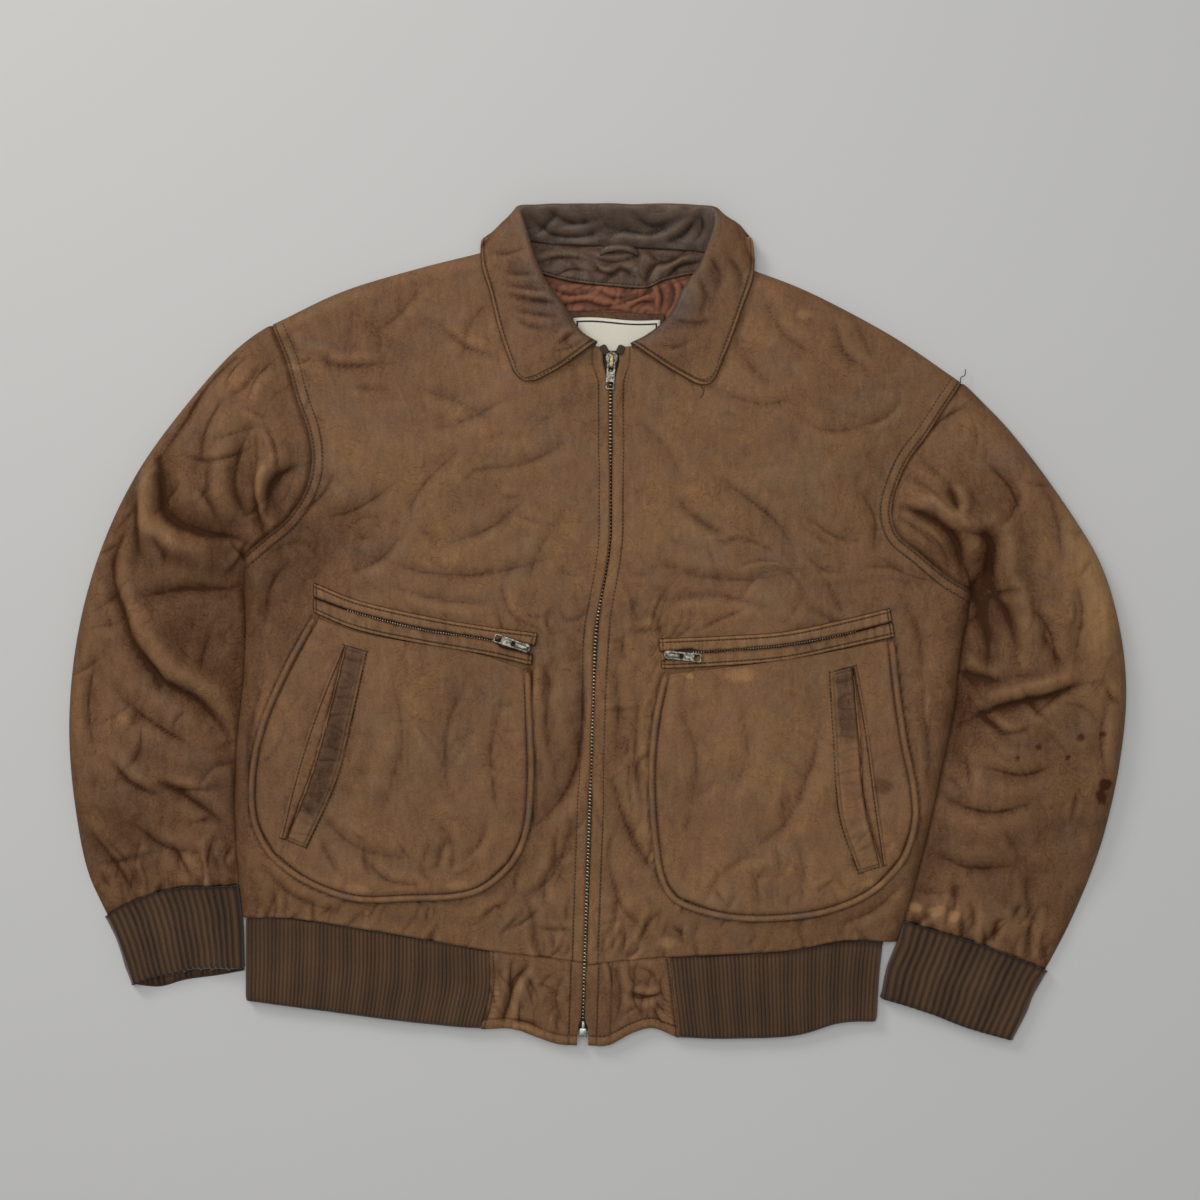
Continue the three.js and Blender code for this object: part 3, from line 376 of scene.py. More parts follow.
def waxedLeather(name, seamShadow=True):
    # waxed cowhide: a soft nap, painted highlight on the ridges and painted shade, with some wax, in the creases, a
    # fine grain
    material, tree, shader, place = newMaterial(name)
    blotch = add(tree, "TexNoise", Vector=place, Scale=size(leather["blotchSize"]), Detail=3.0, Roughness=0.55)
    mottle = add(tree, "TexNoise", Vector=place, Scale=size(leather["mottleSize"]), Detail=5.0, Roughness=0.6,
                 Distortion=0.6)
    drawn = add(tree, "Mapping", Vector=place, Rotation=(0.0, 0.0, 0.18), Scale=(1.0, 0.36, 1.0))
    streak = add(tree, "TexNoise", Vector=drawn, Scale=size(leather["streakSize"]), Detail=4.0, Roughness=0.6,
                 Distortion=0.8)
    speck = add(tree, "TexNoise", Vector=place, Scale=size(leather["speckSize"]), Detail=3.0, Roughness=0.6)
    grain = add(tree, "TexNoise", Vector=place, Scale=size(leather["grainSize"]), Detail=2.0)
    bent = add(tree, "TexNoise", Vector=place, Scale=size(leather["wrinkleSize"]), Detail=2.0, Roughness=0.5,
               Distortion=1.6)
    tone, fold, worn, seamA, seamB = [add(tree, "Attribute", attribute_name=key).outputs["Fac"]
                                      for key in ("tone", "fold", "worn", "seamA", "seamB")]
    # these add up to a place on the colour ramp, whose middle is the common brown
    total = add(tree, "Math", tone, 0.5, operation="ADD")
    for texture, weight in ((blotch, 0.32), (mottle, 0.26), (streak, 0.36), (speck, 0.20), (grain, 0.24)):
        part = add(tree, "Math", texture, 0.5, operation="SUBTRACT")
        total = add(tree, "Math", part, weight, total, operation="MULTIPLY_ADD")
    # painted shade in the hollows and painted highlight on the crests of each piece's relief
    total = add(tree, "Math", fold, 0.5, total, operation="MULTIPLY_ADD")
    # fine wrinkles: thin lines where a bent noise passes its middle, kept to patches, darkened as painted shade and
    # given as bump
    away = add(tree, "Math", add(tree, "Math", bent, 0.5, operation="SUBTRACT"), operation="ABSOLUTE")
    thin = add(tree, "MapRange", away, 0.0, 0.022, 1.0, 0.0, interpolation_type="SMOOTHSTEP")
    patches = add(tree, "MapRange", mottle, 0.47, 0.6, 0.0, 1.0, interpolation_type="SMOOTHSTEP")
    wrinkle = add(tree, "Math", thin, patches, operation="MULTIPLY")
    total = add(tree, "Math", wrinkle, -0.2 * leather["wrinkles"], total, operation="MULTIPLY_ADD")
    ramps = []
    for stops in (((0.06, "dark"), (0.88, "pale"), (0.32, "deep"), (0.56, "middle")),
                  ((0.15, "wornDark"), (0.9, "wornPale"))):
        ramps.append(add(tree, "ValToRGB", total))
        elements = ramps[-1].color_ramp.elements
        for k, (position, colour) in enumerate(stops):
            element = elements[k] if k < 2 else elements.new(position)
            element.position, element.color = position, linear(leather[colour])
    # the dye turns a little redder in some places and greyer in others
    hide = ramps[0]
    for patch, colour in ((add(tree, "MapRange", blotch.outputs["Color"], 0.42, 0.62, 0.0, 0.30), "redder"),
                          (add(tree, "MapRange", mottle, 0.5, 0.3, 0.0, 0.22), "greyer")):
        hide = add(tree, "Mix", patch, data_type="RGBA", blend_type="COLOR", i6=hide,
                   i7=linear(leather[colour])).outputs[2]
    hide = add(tree, "Mix", worn, data_type="RGBA", i6=hide, i7=ramps[1]).outputs[2]
    # how many millimetres away the nearest sewn seams are; a piece without them is far from any
    nearest = add(tree, "Math", seamA if seamShadow else 99.0, seamB if seamShadow else 99.0, operation="MINIMUM")
    groove = add(tree, "MapRange", nearest, 0.2, 1.5, 0.0, 1.0, interpolation_type="SMOOTHSTEP")
    # painted shade in the groove along each row of stitches
    seamShade = add(tree, "MapRange", groove, 0.0, 1.0, 0.62, 1.0)
    final = add(tree, "Mix", 1.0, data_type="RGBA", blend_type="MULTIPLY", i6=hide, i7=seamShade).outputs[2]
    rough = add(tree, "MapRange", mottle, 0.3, 0.7, leather["roughness"] - 0.06, leather["roughness"] + 0.10)
    polished = add(tree, "Math", worn, -0.26, rough, operation="MULTIPLY_ADD")
    # wax and dust in the creases take the gloss away
    gloss = add(tree, "MapRange", total, 0.12, 0.5, 0.04, leather["shine"])
    relief = add(tree, "Math", wrinkle, -1.0 * leather["wrinkles"], streak, operation="MULTIPLY_ADD")
    relief = add(tree, "Math", groove, 1.2, relief, operation="MULTIPLY_ADD")
    bump = add(tree, "Bump", Strength=0.5, Distance=0.0009, Height=relief)
    bump = add(tree, "Bump", Strength=0.35, Distance=0.00018, Height=grain, Normal=bump)
    feed(tree, shader, {"Base Color": final, "Roughness": polished, "Specular IOR Level": gloss, "Normal": bump})
    return material


rib = {"colour": "#5f452e", "dark": "#1e140d", "yarn": 1.1, "wornSize": 45}


def ribKnit(name):
    # ribbed wool and acrylic knit: matt, slightly fuzzy yarn, with painted shade between the ribs
    material, tree, shader, place = newMaterial(name)
    fold = add(tree, "Attribute", attribute_name="fold").outputs["Fac"]
    fuzz = add(tree, "TexNoise", Vector=place, Scale=size(rib["yarn"]), Detail=3.0)
    worn = add(tree, "TexNoise", Vector=place, Scale=size(rib["wornSize"]), Detail=3.0)
    depth = add(tree, "Math", add(tree, "Math", fuzz, 0.5, operation="SUBTRACT"), 0.5, fold,
                operation="MULTIPLY_ADD", use_clamp=True)
    colour = add(tree, "Mix", depth, data_type="RGBA", i6=linear(rib["dark"]), i7=linear(rib["colour"])).outputs[2]
    shade = add(tree, "MapRange", worn, 0.3, 0.7, 0.85, 1.15)
    final = add(tree, "VectorMath", colour, operation="SCALE", Scale=shade)
    feed(tree, shader, {"Base Color": final, "Roughness": 0.92, "Specular IOR Level": 0.2, "Sheen Weight": 0.25,
                        "Normal": add(tree, "Bump", Strength=0.5, Distance=0.0004, Height=fuzz)})
    return material


lining = {"dark": "#68412f", "pale": "#8f5b44", "cloudSize": 30, "threadStep": 0.7}


def satinLining(name):
    # rust satin: smooth acetate with a soft stretched sheen and crisp wrinkles
    material, tree, shader, place = newMaterial(name)
    cloud = add(tree, "TexNoise", Vector=place, Scale=size(lining["cloudSize"]), Detail=4.0)
    colour = add(tree, "Mix", cloud, data_type="RGBA", i6=linear(lining["dark"]),
                 i7=linear(lining["pale"])).outputs[2]
    fold = add(tree, "Attribute", attribute_name="fold").outputs["Fac"]
    # painted shade in the hollows and painted highlight on the crests
    hollow = add(tree, "MapRange", fold, -0.5, 0.3, 0.3, 1.15)
    final = add(tree, "VectorMath", colour, operation="SCALE", Scale=hollow)
    threads = add(tree, "TexWave", bands_direction="X", Vector=place, Scale=size(lining["threadStep"]) / 6.28)
    bump = add(tree, "Bump", Strength=0.1, Distance=0.0001, Height=threads.outputs["Fac"])
    feed(tree, shader, {"Base Color": final, "Roughness": 0.55, "Specular IOR Level": 0.12, "Normal": bump})
    return material


def plainCloth(name, colour, thread=0.6):
    # a tight plain weave; its threads are drawn a little coarse so that they show
    material, tree, shader, place = newMaterial(name)
    weave = add(tree, "TexNoise", Vector=place, Scale=size(thread), Detail=2.0)
    shade = add(tree, "MapRange", weave, 0.3, 0.7, 0.88, 1.06)
    final = add(tree, "VectorMath", linear(colour)[:3], operation="SCALE", Scale=shade)
    bump = add(tree, "Bump", Strength=0.3, Distance=0.0002, Height=weave)
    feed(tree, shader, {"Base Color": final, "Roughness": 0.85, "Normal": bump})
    return material


def wornMetal(name, bright, dull, roughness):
    # plated zinc, rubbed bright on top and tarnished in between
    material, tree, shader, place = newMaterial(name)
    tarnish = add(tree, "TexNoise", Vector=place, Scale=size(2.2), Detail=5.0, Roughness=0.65)
    mask = add(tree, "MapRange", tarnish, 0.4, 0.62, 0.0, 1.0)
    colour = add(tree, "Mix", mask, data_type="RGBA", i6=linear(dull), i7=linear(bright)).outputs[2]
    rough = add(tree, "MapRange", tarnish, 0.3, 0.7, roughness + 0.15, roughness - 0.05)
    bump = add(tree, "Bump", Strength=0.2, Distance=0.0001, Height=tarnish)
    feed(tree, shader, {"Base Color": colour, "Metallic": 1.0, "Roughness": rough, "Normal": bump})
    return material


brownLeather = waxedLeather("waxed brown cowhide")
plainLeather = waxedLeather("waxed brown cowhide, back and undersides", seamShadow=False)
ribMaterial = ribKnit("brown rib knit")
satin = satinLining("rust satin")
threadMaterial = plainCloth("dark brown thread", "#33241a", 0.4)
tapeMaterial = plainCloth("brown cotton zip tape", "#3a291f")
labelCream = plainCloth("cream woven label", "#dcd8c6", 0.7)
labelNavy = plainCloth("navy label border", "#20242b", 0.5)
nickel = wornMetal("tarnished nickel", "#989386", "#55514a", 0.42)
brass = wornMetal("worn brass", "#b5a27c", "#6e5f45", 0.38)
# the bright teeth's colour is a painted highlight, and the other row's is oxide with painted shade
highlightedTeeth = wornMetal("zip teeth with painted highlight", "#e4dac2", "#a89b82", 0.45)
shadedTeeth = wornMetal("oxidised zip teeth in painted shade", "#8f836c", "#4a4033", 0.5)
brightNickel = wornMetal("bright nickel", "#cfcec8", "#85827b", 0.3)

print("materials made")


cloth = {"leather": 1.6, "patch": 1.1}
heights = {"body": 15, "chest": 5, "sleeve": 25, "underArm": 8.5, "cuff": 10, "hem": 10, "tabDrop": 1.5,
           "neckDrop": 6}
reach = {"side": 9, "shoulder": 14, "sleeve": 18, "underArm": 6, "cuff": 5, "hem": 4}

# "right" and "left" are the wearer's; each outline is a list of points that a smooth curve runs through
signs = {"right": -1, "left": 1}
outlines = {
    "right": {
        "side": [(-305, -252), (-309, -205), (-311, -140), (-309, -95), (-303, -40), (-302, 10), (-306, 58)],
        "armhole": [(-281, 261), (-267, 228), (-258, 195), (-248, 166), (-245, 140), (-251, 115), (-266, 92),
                    (-287, 74), (-306, 58)],
        "shoulder": [(-281, 261), (-222, 289), (-153, 310), (-101, 323), (-76, 330)],
        "neck": [(-76, 330), (-73, 299), (-58, 265), (-34, 243), (4, 239)],
        "hem": [(-12.6, -290), (-93, -280), (-193, -263), (-265, -252), (-305, -252)],
        "sleeveOuter": [(-281, 261), (-311, 240), (-353, 194), (-399, 130), (-430, 64), (-449, -5), (-457, -80),
                        (-453, -150), (-442, -212), (-425, -251)],
        "cuffSeam": [(-425, -251), (-398, -236), (-362, -226), (-330, -225), (-311.4, -224)],
        "cuffOuter": [(-425, -251), (-416, -270), (-408, -293), (-402, -311)],
        "cuffInner": [(-311.4, -224), (-307.6, -252), (-306, -299)],
        "cuffEnd": [(-402, -311), (-380, -313), (-357, -307), (-328, -303), (-306, -299)],
        "tabSeam": [(-93, -280), (-93, -313), (-101, -347)],
        "tabEnd": [(-20, -361), (-34, -360), (-52, -354), (-72, -347), (-101, -347)],
        "ribEnd": [(-101, -347), (-132, -345), (-193, -338), (-259, -329), (-304, -323)],
        "ribSide": [(-304, -252), (-304, -323)],
        "pocketSide": [(-243, 6), (-268, -40), (-288, -88), (-296, -130), (-294, -168), (-280, -196)],
        "pocketEnd": [(-280, -196), (-250, -219), (-209, -234), (-166, -234), (-105, -228), (-75, -205)],
        "pocketInner": [(-60, -40), (-58, -90), (-57, -130), (-62, -178), (-75, -205)],
        "pocketTop": [(-243, 6), (-205, -7), (-150, -17), (-100, -26), (-60, -40)],
        "weltTop": [(-243, 36), (-209, 22), (-150, 8), (-92, -2), (-52, -7)],
        "weltZip": [(-243, 24), (-209, 12), (-150, -3), (-98, -11), (-55, -21)],
        "weltBottom": [(-243, 12), (-209, -2), (-150, -15), (-92, -25), (-57, -33)],
        "handOuter": [(-218, -16), (-242, -76), (-258, -125), (-272, -182)],
        "handSlit": [(-216, -17), (-231, -76), (-245, -125), (-267, -183)],
        "handInner": [(-198, -22), (-210, -76), (-223, -130), (-250, -190)],
    },
    "left": {
        "side": [(257, -273), (266, -244), (282, -182), (296, -120), (306, -71), (312, -15), (324, 28)],
        "armhole": [(314, 211), (299, 189), (282, 163), (266, 141), (256, 118), (252, 97), (257, 79), (276, 62),
                    (300, 42), (324, 28)],
        "shoulder": [(314, 211), (263, 246), (217, 272), (174, 293), (134, 308), (110, 317)],
        "neck": [(110, 317), (106, 290), (89, 262), (60, 243), (19, 239)],
        "hem": [(-8.9, -292), (55, -286), (110, -283), (165, -280), (216, -271), (257, -273)],
        "sleeveOuter": [(314, 211), (354, 171), (403, 106), (434, 55), (449, 9), (457, -50), (453, -109),
                        (436, -188), (413, -249), (388, -298)],
        "cuffSeam": [(388, -298), (363, -287), (334, -276), (299, -265), (264.8, -255)],
        "cuffOuter": [(388, -298), (378, -315), (368, -338), (358, -358)],
        "cuffInner": [(264.8, -255), (259.6, -273), (251, -295), (245.4, -322)],
        "cuffEnd": [(358, -358), (319, -347), (288, -335), (267, -328), (245.4, -322)],
        "tabSeam": [(63, -286), (66, -312), (71, -355)],
        "tabEnd": [(-8, -361), (8, -361), (30, -350), (47, -346), (71, -355)],
        "ribEnd": [(71, -355), (110, -356), (173, -353), (207, -343), (241, -341)],
        "ribSide": [(246, -276), (243, -305), (241, -341)],
        "pocketSide": [(252, -14), (256, -52), (263, -100), (271, -140), (272, -168), (262, -200)],
        "pocketEnd": [(262, -200), (235, -228), (200, -244), (155, -251), (108, -249), (67, -235)],
        "pocketInner": [(58, -43), (50, -80), (46, -125), (49, -180), (56, -219), (67, -235)],
        "pocketTop": [(252, -14), (220, -20), (165, -30), (110, -37), (58, -43)],
        "weltTop": [(250, 14), (209, 4), (160, -6), (100, -10), (53, -12)],
        "weltZip": [(252, 3), (209, -8), (160, -17), (100, -22), (54, -26)],
        "weltBottom": [(254, -9), (209, -19), (160, -29), (100, -34), (55, -36)],
        "handOuter": [(221, -34), (231, -90), (239, -150), (247, -205)],
        "handSlit": [(219, -35), (224, -90), (229, -150), (243, -206)],
        "handInner": [(199, -40), (202, -90), (208, -165), (224, -212)],
    },
}
lines = {wearer: {name: smoothLine(points) for name, points in o.items()} for wearer, o in outlines.items()}


def zipX(y):
    # the zip bends where the fronts were pulled past each other, then slants to the hem
    return 11.5 - 13 * smoothStep((85 - y) / 105) - 0.033 * np.maximum(0, -10 - y)


def besideZip(y, sign, away=0.0):
    return np.stack([zipX(y) + sign * (zipGap(y) + away), y], 1)


def zipGap(y):
    # half the gap between the leather edges: they all but meet halfway down, and part at the slider
    return 0.65 + 0.6 * smoothStep((y - 132) / 20) + 0.9 * bell(y + 14, 26) + 0.9 * smoothStep((-130 - y) / 20) \
        + 5.4 * smoothStep((y - 206) / 22)


def hemSeamY(x):
    return -290 + np.where(x < -10, 38, 17) * (np.abs(x + 10) / 290) ** 1.5


def backHemY(x):
    t = (x + 304) / 552
    return -252 * (1 - t) - 273 * t - 5 * (1 - ((x + 28) / 276) ** 2)


def bodyHeight(x, y):
    # highest at the chest, lower at the neck and hem, round at the outer edges
    chest = heights["chest"] * np.exp(-((x - 5) / 190) ** 2 - ((y - 60) / 190) ** 2)
    neck = heights["neckDrop"] * np.exp(-((np.abs(x - 16) - 90) / 55) ** 2 - ((y - 330) / 60) ** 2)
    toSeam = hemSeamY(x) - y
    hem = (heights["body"] - heights["hem"]) * smoothStep((toSeam + 55) / 55) \
        + heights["tabDrop"] * smoothStep(toSeam / 60)
    edge = np.ones(np.shape(x))
    for o in lines.values():
        edge = np.minimum(edge, roundOver(distanceTo(o["side"], x, y), reach["side"])
                          * roundOver(distanceTo(o["shoulder"], x, y), reach["shoulder"]))
    return (heights["body"] + chest - neck - hem) * edge


def nearCreases(x, y, creases, widths):
    # a crease is its half width, its depth, its lean, then the x and y of each of its points;
    # only the places within some widths of it are reckoned
    for width, depth, lean, *points in creases:
        line = smoothLine(np.reshape(points, (-1, 2)), max(6, 5 * len(points) // 2))
        low, high = line.min(0) - widths * width, line.max(0) + widths * width
        near = (x > low[0]) & (x < high[0]) & (y > low[1]) & (y < high[1])
        if near.any():
            yield (near, width, depth, lean, *nearestOn(line, x[near], y[near]))


def creaseHeight(x, y, creases):
    # a trough, steep on the side it leans to, with a swell beside it
    total = np.zeros(np.shape(x))
    for near, width, depth, lean, distance, side, share in nearCreases(x, y, creases, 4):
        s = distance * side / width
        gentle = 1 + 0.6 * abs(lean)
        steep = 1 - 0.62 * abs(lean)
        valley = 0.78 * bell(s, np.where(s * lean > 0, steep, gentle)) + 0.22 * np.exp(-np.abs(s) / 0.3)
        swell = abs(lean) * 0.75 * bell(s - 1.7 * lean / max(abs(lean), 0.01), 1.0)
        taper = np.sin(math.pi * np.clip(share * 0.94 + 0.03, 0, 1)) ** 0.7
        total[near] += depth * (swell - valley) * taper * bell(np.maximum(distance - 3.4 * width, 0), 0.5 * width)
    return total


def creaseShadowLines(x, y, creases, thinnest=0.9):
    # a dark line of painted shadow, with some wax, at the bottom of each crease, from 0 to 1
    total = np.zeros(np.shape(x))
    for near, width, depth, lean, distance, side, share in nearCreases(x, y, creases, 2):
        taper = np.sin(math.pi * np.clip(share * 0.94 + 0.03, 0, 1))
        strength = np.clip(0.22 + depth / 3.0, 0, 1)
        total[near] = np.maximum(total[near], strength * taper * bell(distance, max(thinnest, 0.13 * width)))
    return total * (0.62 + 0.75 * np.abs(cloudNoise(x, y, 15, 7)))


def scatteredCreases(seed, count, area, turn, spread, length, width, depth):
    # short soft creases in a region (low x, low y, high x, high y), most of them turned the same way
    random = np.random.default_rng(seed)
    creases = []
    for _ in range(count):
        x, y = random.uniform(area[0], area[2]), random.uniform(area[1], area[3])
        angle = math.radians(turn + random.normal(0, spread))
        half = random.uniform(*length) / 2
        bend = random.normal(0, 0.22) * half
        along = np.array([math.cos(angle), math.sin(angle)])
        across = np.array([-along[1], along[0]])
        middle = np.array([x, y])
        points = [middle - along * half, middle - along * half * 0.3 + across * bend,
                  middle + along * half * 0.4 + across * bend * 0.8, middle + along * half]
        creases.append((random.uniform(*width), random.uniform(*depth) * random.choice([1, 1, 0.5]),
                        random.uniform(-1, 1), *np.ravel(points)))
    return creases


bodyCreases = [
    # under the collar and across the shoulders
    (4, 1.5, 0.6, -134, 257, -111, 239, -88, 231), (4.5, 1.7, 0.7, -243, 233, -226, 224, -203, 223, -180, 226),
    (3, 0.8, 0.5, -188, 253, -187, 240, -186, 228), (3.5, 0.9, -0.4, -214, 206, -198, 203, -182, 202),
    (6, 1.1, 0.5, -150, 296, -170, 268, -196, 250), (5, 0.9, -0.5, -96, 280, -112, 252, -118, 226),
    (7, 1.1, 0.4, -70, 200, -110, 178, -140, 168), (6, 1.0, -0.5, -160, 205, -120, 192, -84, 170),
    (6, 1.2, 0.5, 140, 285, 160, 250, 186, 232), (5, 1.0, -0.5, 116, 262, 124, 232, 150, 205),
    (5, 1.3, 0.6, 200, 262, 214, 232, 240, 214), (6, 1.0, 0.4, 95, 205, 140, 190, 176, 196),
    (5, 1.1, -0.6, 172, 180, 196, 168, 230, 170), (4, 1.1, 0.6, 262, 196, 248, 180, 226, 172),
    # beside the armholes
    (12, 2.6, 0.4, -226, 132, -237, 112, -256, 96), (11, 1.8, -0.4, -168, 128, -188, 112, -212, 98, -238, 92),
    (6, 1.5, 0.6, -168, 78, -186, 58, -214, 44), (8, 1.6, 0.5, -262, 60, -280, 36, -286, 0),
    (9, 2.2, -0.5, 225, 116, 238, 92, 236, 62), (7, 1.5, 0.6, 240, 60, 262, 46, 292, 36),
    (6, 1.4, 0.5, 180, 92, 205, 76, 226, 72), (6, 1.3, -0.5, 262, 20, 276, -8, 276, -48),
    # chest
    (7, 1.7, 0.6, 105, 126, 130, 108, 155, 87, 168, 64), (7, 1.3, -0.5, 60, 120, 84, 92, 120, 74),
    (8, 1.6, 0.5, 40, 60, 84, 44, 130, 40, 176, 48), (5, 1.3, -0.6, 60, 22, 104, 26, 150, 14),
    (9, 1.8, 0.5, -190, 60, -150, 46, -100, 44, -40, 58), (5, 1.3, -0.5, -178, 34, -132, 22, -88, 20),
    (7, 1.4, 0.5, -60, 110, -92, 84, -130, 70), (7, 1.2, -0.4, -30, 96, -52, 60, -62, 20),
    (6, 1.0, 0.5, -24, 160, -60, 140, -100, 134), (6, 1.0, 0.5, 34, 176, 60, 150, 74, 120),
    (7, 1.3, 0.5, -120, 150, -150, 120, -166, 92),
    # folds that run down beside the zip
    (8, 3.0, 0.7, -14, -20, -13, -63, -17, -114, -30, -146, -53, -172), (6, 1.6, -0.5, -40, -30, -44, -80, -40, -120),
    (7, 2.0, -0.6, -22, -170, -36, -210, -60, -236), (6, 1.8, -0.6, 14, -30, 18, -80, 16, -120),
    (8, 2.8, 0.7, 12, -128, 20, -160, 33, -189, 51, -218), (5, 1.6, 0.6, 34, -60, 32, -110, 36, -150),
    (6, 1.8, 0.6, 8, -200, 20, -240, 40, -262), (3, 1.5, 0.7, 17, -236, 14, -256, 10, -266),
    (2.4, 1.2, 0.7, 15.4, -268, 12, -280), (2.4, 1.3, 0.7, 5.4, -262, 4.6, -275, 2.8, -284),
    (2.4, 1.3, 0.7, 23.5, -262, 23, -273, 20.5, -282), (2.4, 1.4, 0.8, 36, -276, 30, -283, 24, -286),
    (3, 1.3, -0.6, 46, -250, 38, -268, 34, -276), (3, 1.0, 0.6, -50, -260, -38, -261, -22, -262),
    (2.4, 1.1, 0.6, -39, -264, -38.5, -272, -38, -279), (3, 1.1, -0.6, -24, -232, -27, -246, -26, -258),
    # between the pockets and the sides, and above the hem
    (5, 1.3, 0.5, -286, -40, -298, -90, -300, -140), (5, 1.5, 0.6, -290, -205, -262, -232, -226, -246),
    (5, 1.3, -0.5, 278, -60, 284, -110, 282, -150), (5, 1.4, 0.5, 266, -216, 238, -244, 206, -258),
]
bodyCreases += scatteredCreases(11, 66, (-290, -250, 300, 300), 20, 60, (16, 56), (1.8, 4.5), (0.2, 0.8))
bodyCreases += scatteredCreases(12, 70, (-80, -286, 80, 20), 80, 20, (16, 56), (1.8, 4.2), (0.4, 1.4))
bodyCreases += scatteredCreases(13, 70, (-300, -286, 260, -236), 78, 22, (12, 34), (1.8, 3.8), (0.5, 1.4))
bodyCreases += scatteredCreases(14, 40, (-290, -10, 300, 90), 165, 30, (18, 54), (1.8, 4.5), (0.3, 1.1))

pocketCreases = {
    "right": [
        (9, 1.6, 0.5, -110, -40, -130, -90, -128, -150), (9, 1.4, -0.5, -176, -40, -168, -100, -186, -160),
        (8, 1.5, 0.5, -240, -160, -206, -190, -160, -200), (7, 1.3, -0.5, -80, -60, -92, -110, -86, -160),
        (4, 1.2, 0.6, -200, -200, -180, -218, -150, -222), (5, 1.3, -0.6, -120, -206, -104, -190, -92, -168),
        (4, 1.0, 0.5, -222, -214, -232, -196, -236, -180),
    ],
    "left": [
        (9, 1.9, 0.6, 190, -60, 190, -83, 183, -119, 156, -174, 122, -195),
        (4.5, 1.3, 0.5, 170, -185, 176, -210, 174, -239), (8, 1.5, -0.5, 70, -70, 84, -110, 78, -170),
        (9, 1.3, 0.4, 120, -60, 128, -110, 112, -150), (5, 1.3, 0.6, 90, -236, 104, -214, 124, -200),
        (4, 1.1, -0.5, 140, -240, 136, -220, 144, -204), (6, 1.4, 0.5, 206, -214, 226, -196, 240, -170),
    ],
}
for seed, (wearer, area) in enumerate((("right", (-290, -230, -60, -20)), ("left", (50, -245, 268, -40)))):
    pocketCreases[wearer] += scatteredCreases(21 + seed, 26, area, 75, 45, (14, 50), (1.8, 4.5), (0.2, 0.8))
    low = (area[0], area[1], area[2], area[1] + 40)
    pocketCreases[wearer] += scatteredCreases(31 + seed, 22, low, 80, 25, (12, 30), (1.8, 3.6), (0.4, 1.2))

sleeveCreases = {
    "right": [
        (10, 3.6, 0.6, -300, 237, -331, 209, -353, 174, -372, 145),
        (10, 7.0, -0.8, -375, 152, -372, 120, -368, 95, -339, 80, -312, 76, -298, 70),
        (7, 5.0, -0.8, -256, 137, -270, 130, -280, 118, -284, 88), (5, 4.0, 0.8, -294, 130, -292, 100, -287, 76),
        (9, 3.2, -0.6, -296, 170, -306, 146, -310, 118, -300, 90), (8, 2.4, 0.6, -318, 196, -334, 168, -340, 140),
        (5, 2.4, 0.7, -392, 120, -393, 90, -392, 58), (6, 2.8, 0.7, -402, 84, -414, 50, -406, 12, -399, -10),
        (8, 2.6, 0.5, -390, 25, -357, 31, -320, 32, -304, 36),
        (9, 6.4, 0.8, -409, 18, -402, -5, -388, -28, -370, -49, -345, -63, -318, -96),
        (4, 2.4, 0.6, -388, -28, -378, -40, -375, -56), (8, 2.2, -0.5, -430, -30, -436, -70, -430, -110),
        (6, 2.4, 0.7, -416, -116, -400, -134, -376, -146), (7, 3.0, 0.7, -377, -132, -351, -148, -324, -169),
        (9, 2.2, -0.5, -410, -60, -380, -84, -346, -104), (6, 2.2, 0.6, -435, -176, -416, -204, -402, -226),
        (4, 2.0, 0.6, -366, -190, -356, -206, -350, -220), (6, 1.9, 0.5, -398, -170, -372, -190, -340, -196),
        (4, 1.8, -0.6, -330, -180, -336, -200, -334, -220), (5, 1.6, 0.5, -276, 228, -290, 214, -300, 190),
    ],
    "left": [
        (8, 6.5, 0.9, 258, 102, 285, 92, 306, 74, 313, 50), (5, 4.2, 0.6, 300, 118, 304, 108, 307, 96),
        (9, 7.0, 0.8, 313, 80, 334, 74, 338, 40, 352, 9, 358, -18), (5, 2.0, 0.6, 287, 169, 300, 180, 316, 188),
        (9, 5.0, -0.5, 312, 60, 324, 30, 336, 0, 334, -40), (7, 5.0, 0.9, 326, -78, 355, -67, 385, -60, 414, -50),
        (4, 2.4, 0.6, 328, -73, 338, -84, 350, -94), (6, 2.8, 0.7, 308, -39, 326, -44, 346, -48),
        (8, 2.2, 0.5, 330, -120, 362, -128, 392, -120), (9, 2.4, -0.6, 300, -150, 336, -160, 372, -152),
        (8, 2.2, 0.5, 290, -196, 320, -208, 360, -206), (4, 1.9, 0.6, 334, -273, 344, -264, 354, -253),
        (4, 1.8, 0.6, 300, -258, 308, -240, 306, -222), (5, 2.0, -0.6, 372, -286, 372, -262, 380, -240),
        (9, 1.8, 0.4, 380, 120, 392, 90, 396, 56), (9, 2.0, -0.5, 408, 40, 414, 10, 408, -24),
        (9, 2.2, 0.5, 332, 140, 352, 118, 362, 92), (8, 2.2, 0.5, 368, 20, 386, -6, 392, -36),
        (7, 1.5, 0.5, 436, -60, 430, -100, 436, -136),
    ],
}
for seed, (wearer, area, turn) in enumerate((("right", (-450, -240, -262, 230), 65),
                                             ("left", (270, -280, 450, 180), 115))):
    sleeveCreases[wearer] += scatteredCreases(41 + seed, 52, area, turn, 45, (18, 56), (2.2, 5.5), (0.4, 1.3))
    cuffEnd = (area[0], area[1] - 10, area[2] - (0 if wearer == "right" else 60), area[1] + 40)
    sleeveCreases[wearer] += scatteredCreases(51 + seed, 34, cuffEnd, 90 if wearer == "right" else 70, 16, (16, 40),
                                              (2.8, 4.6), (0.6, 1.7))


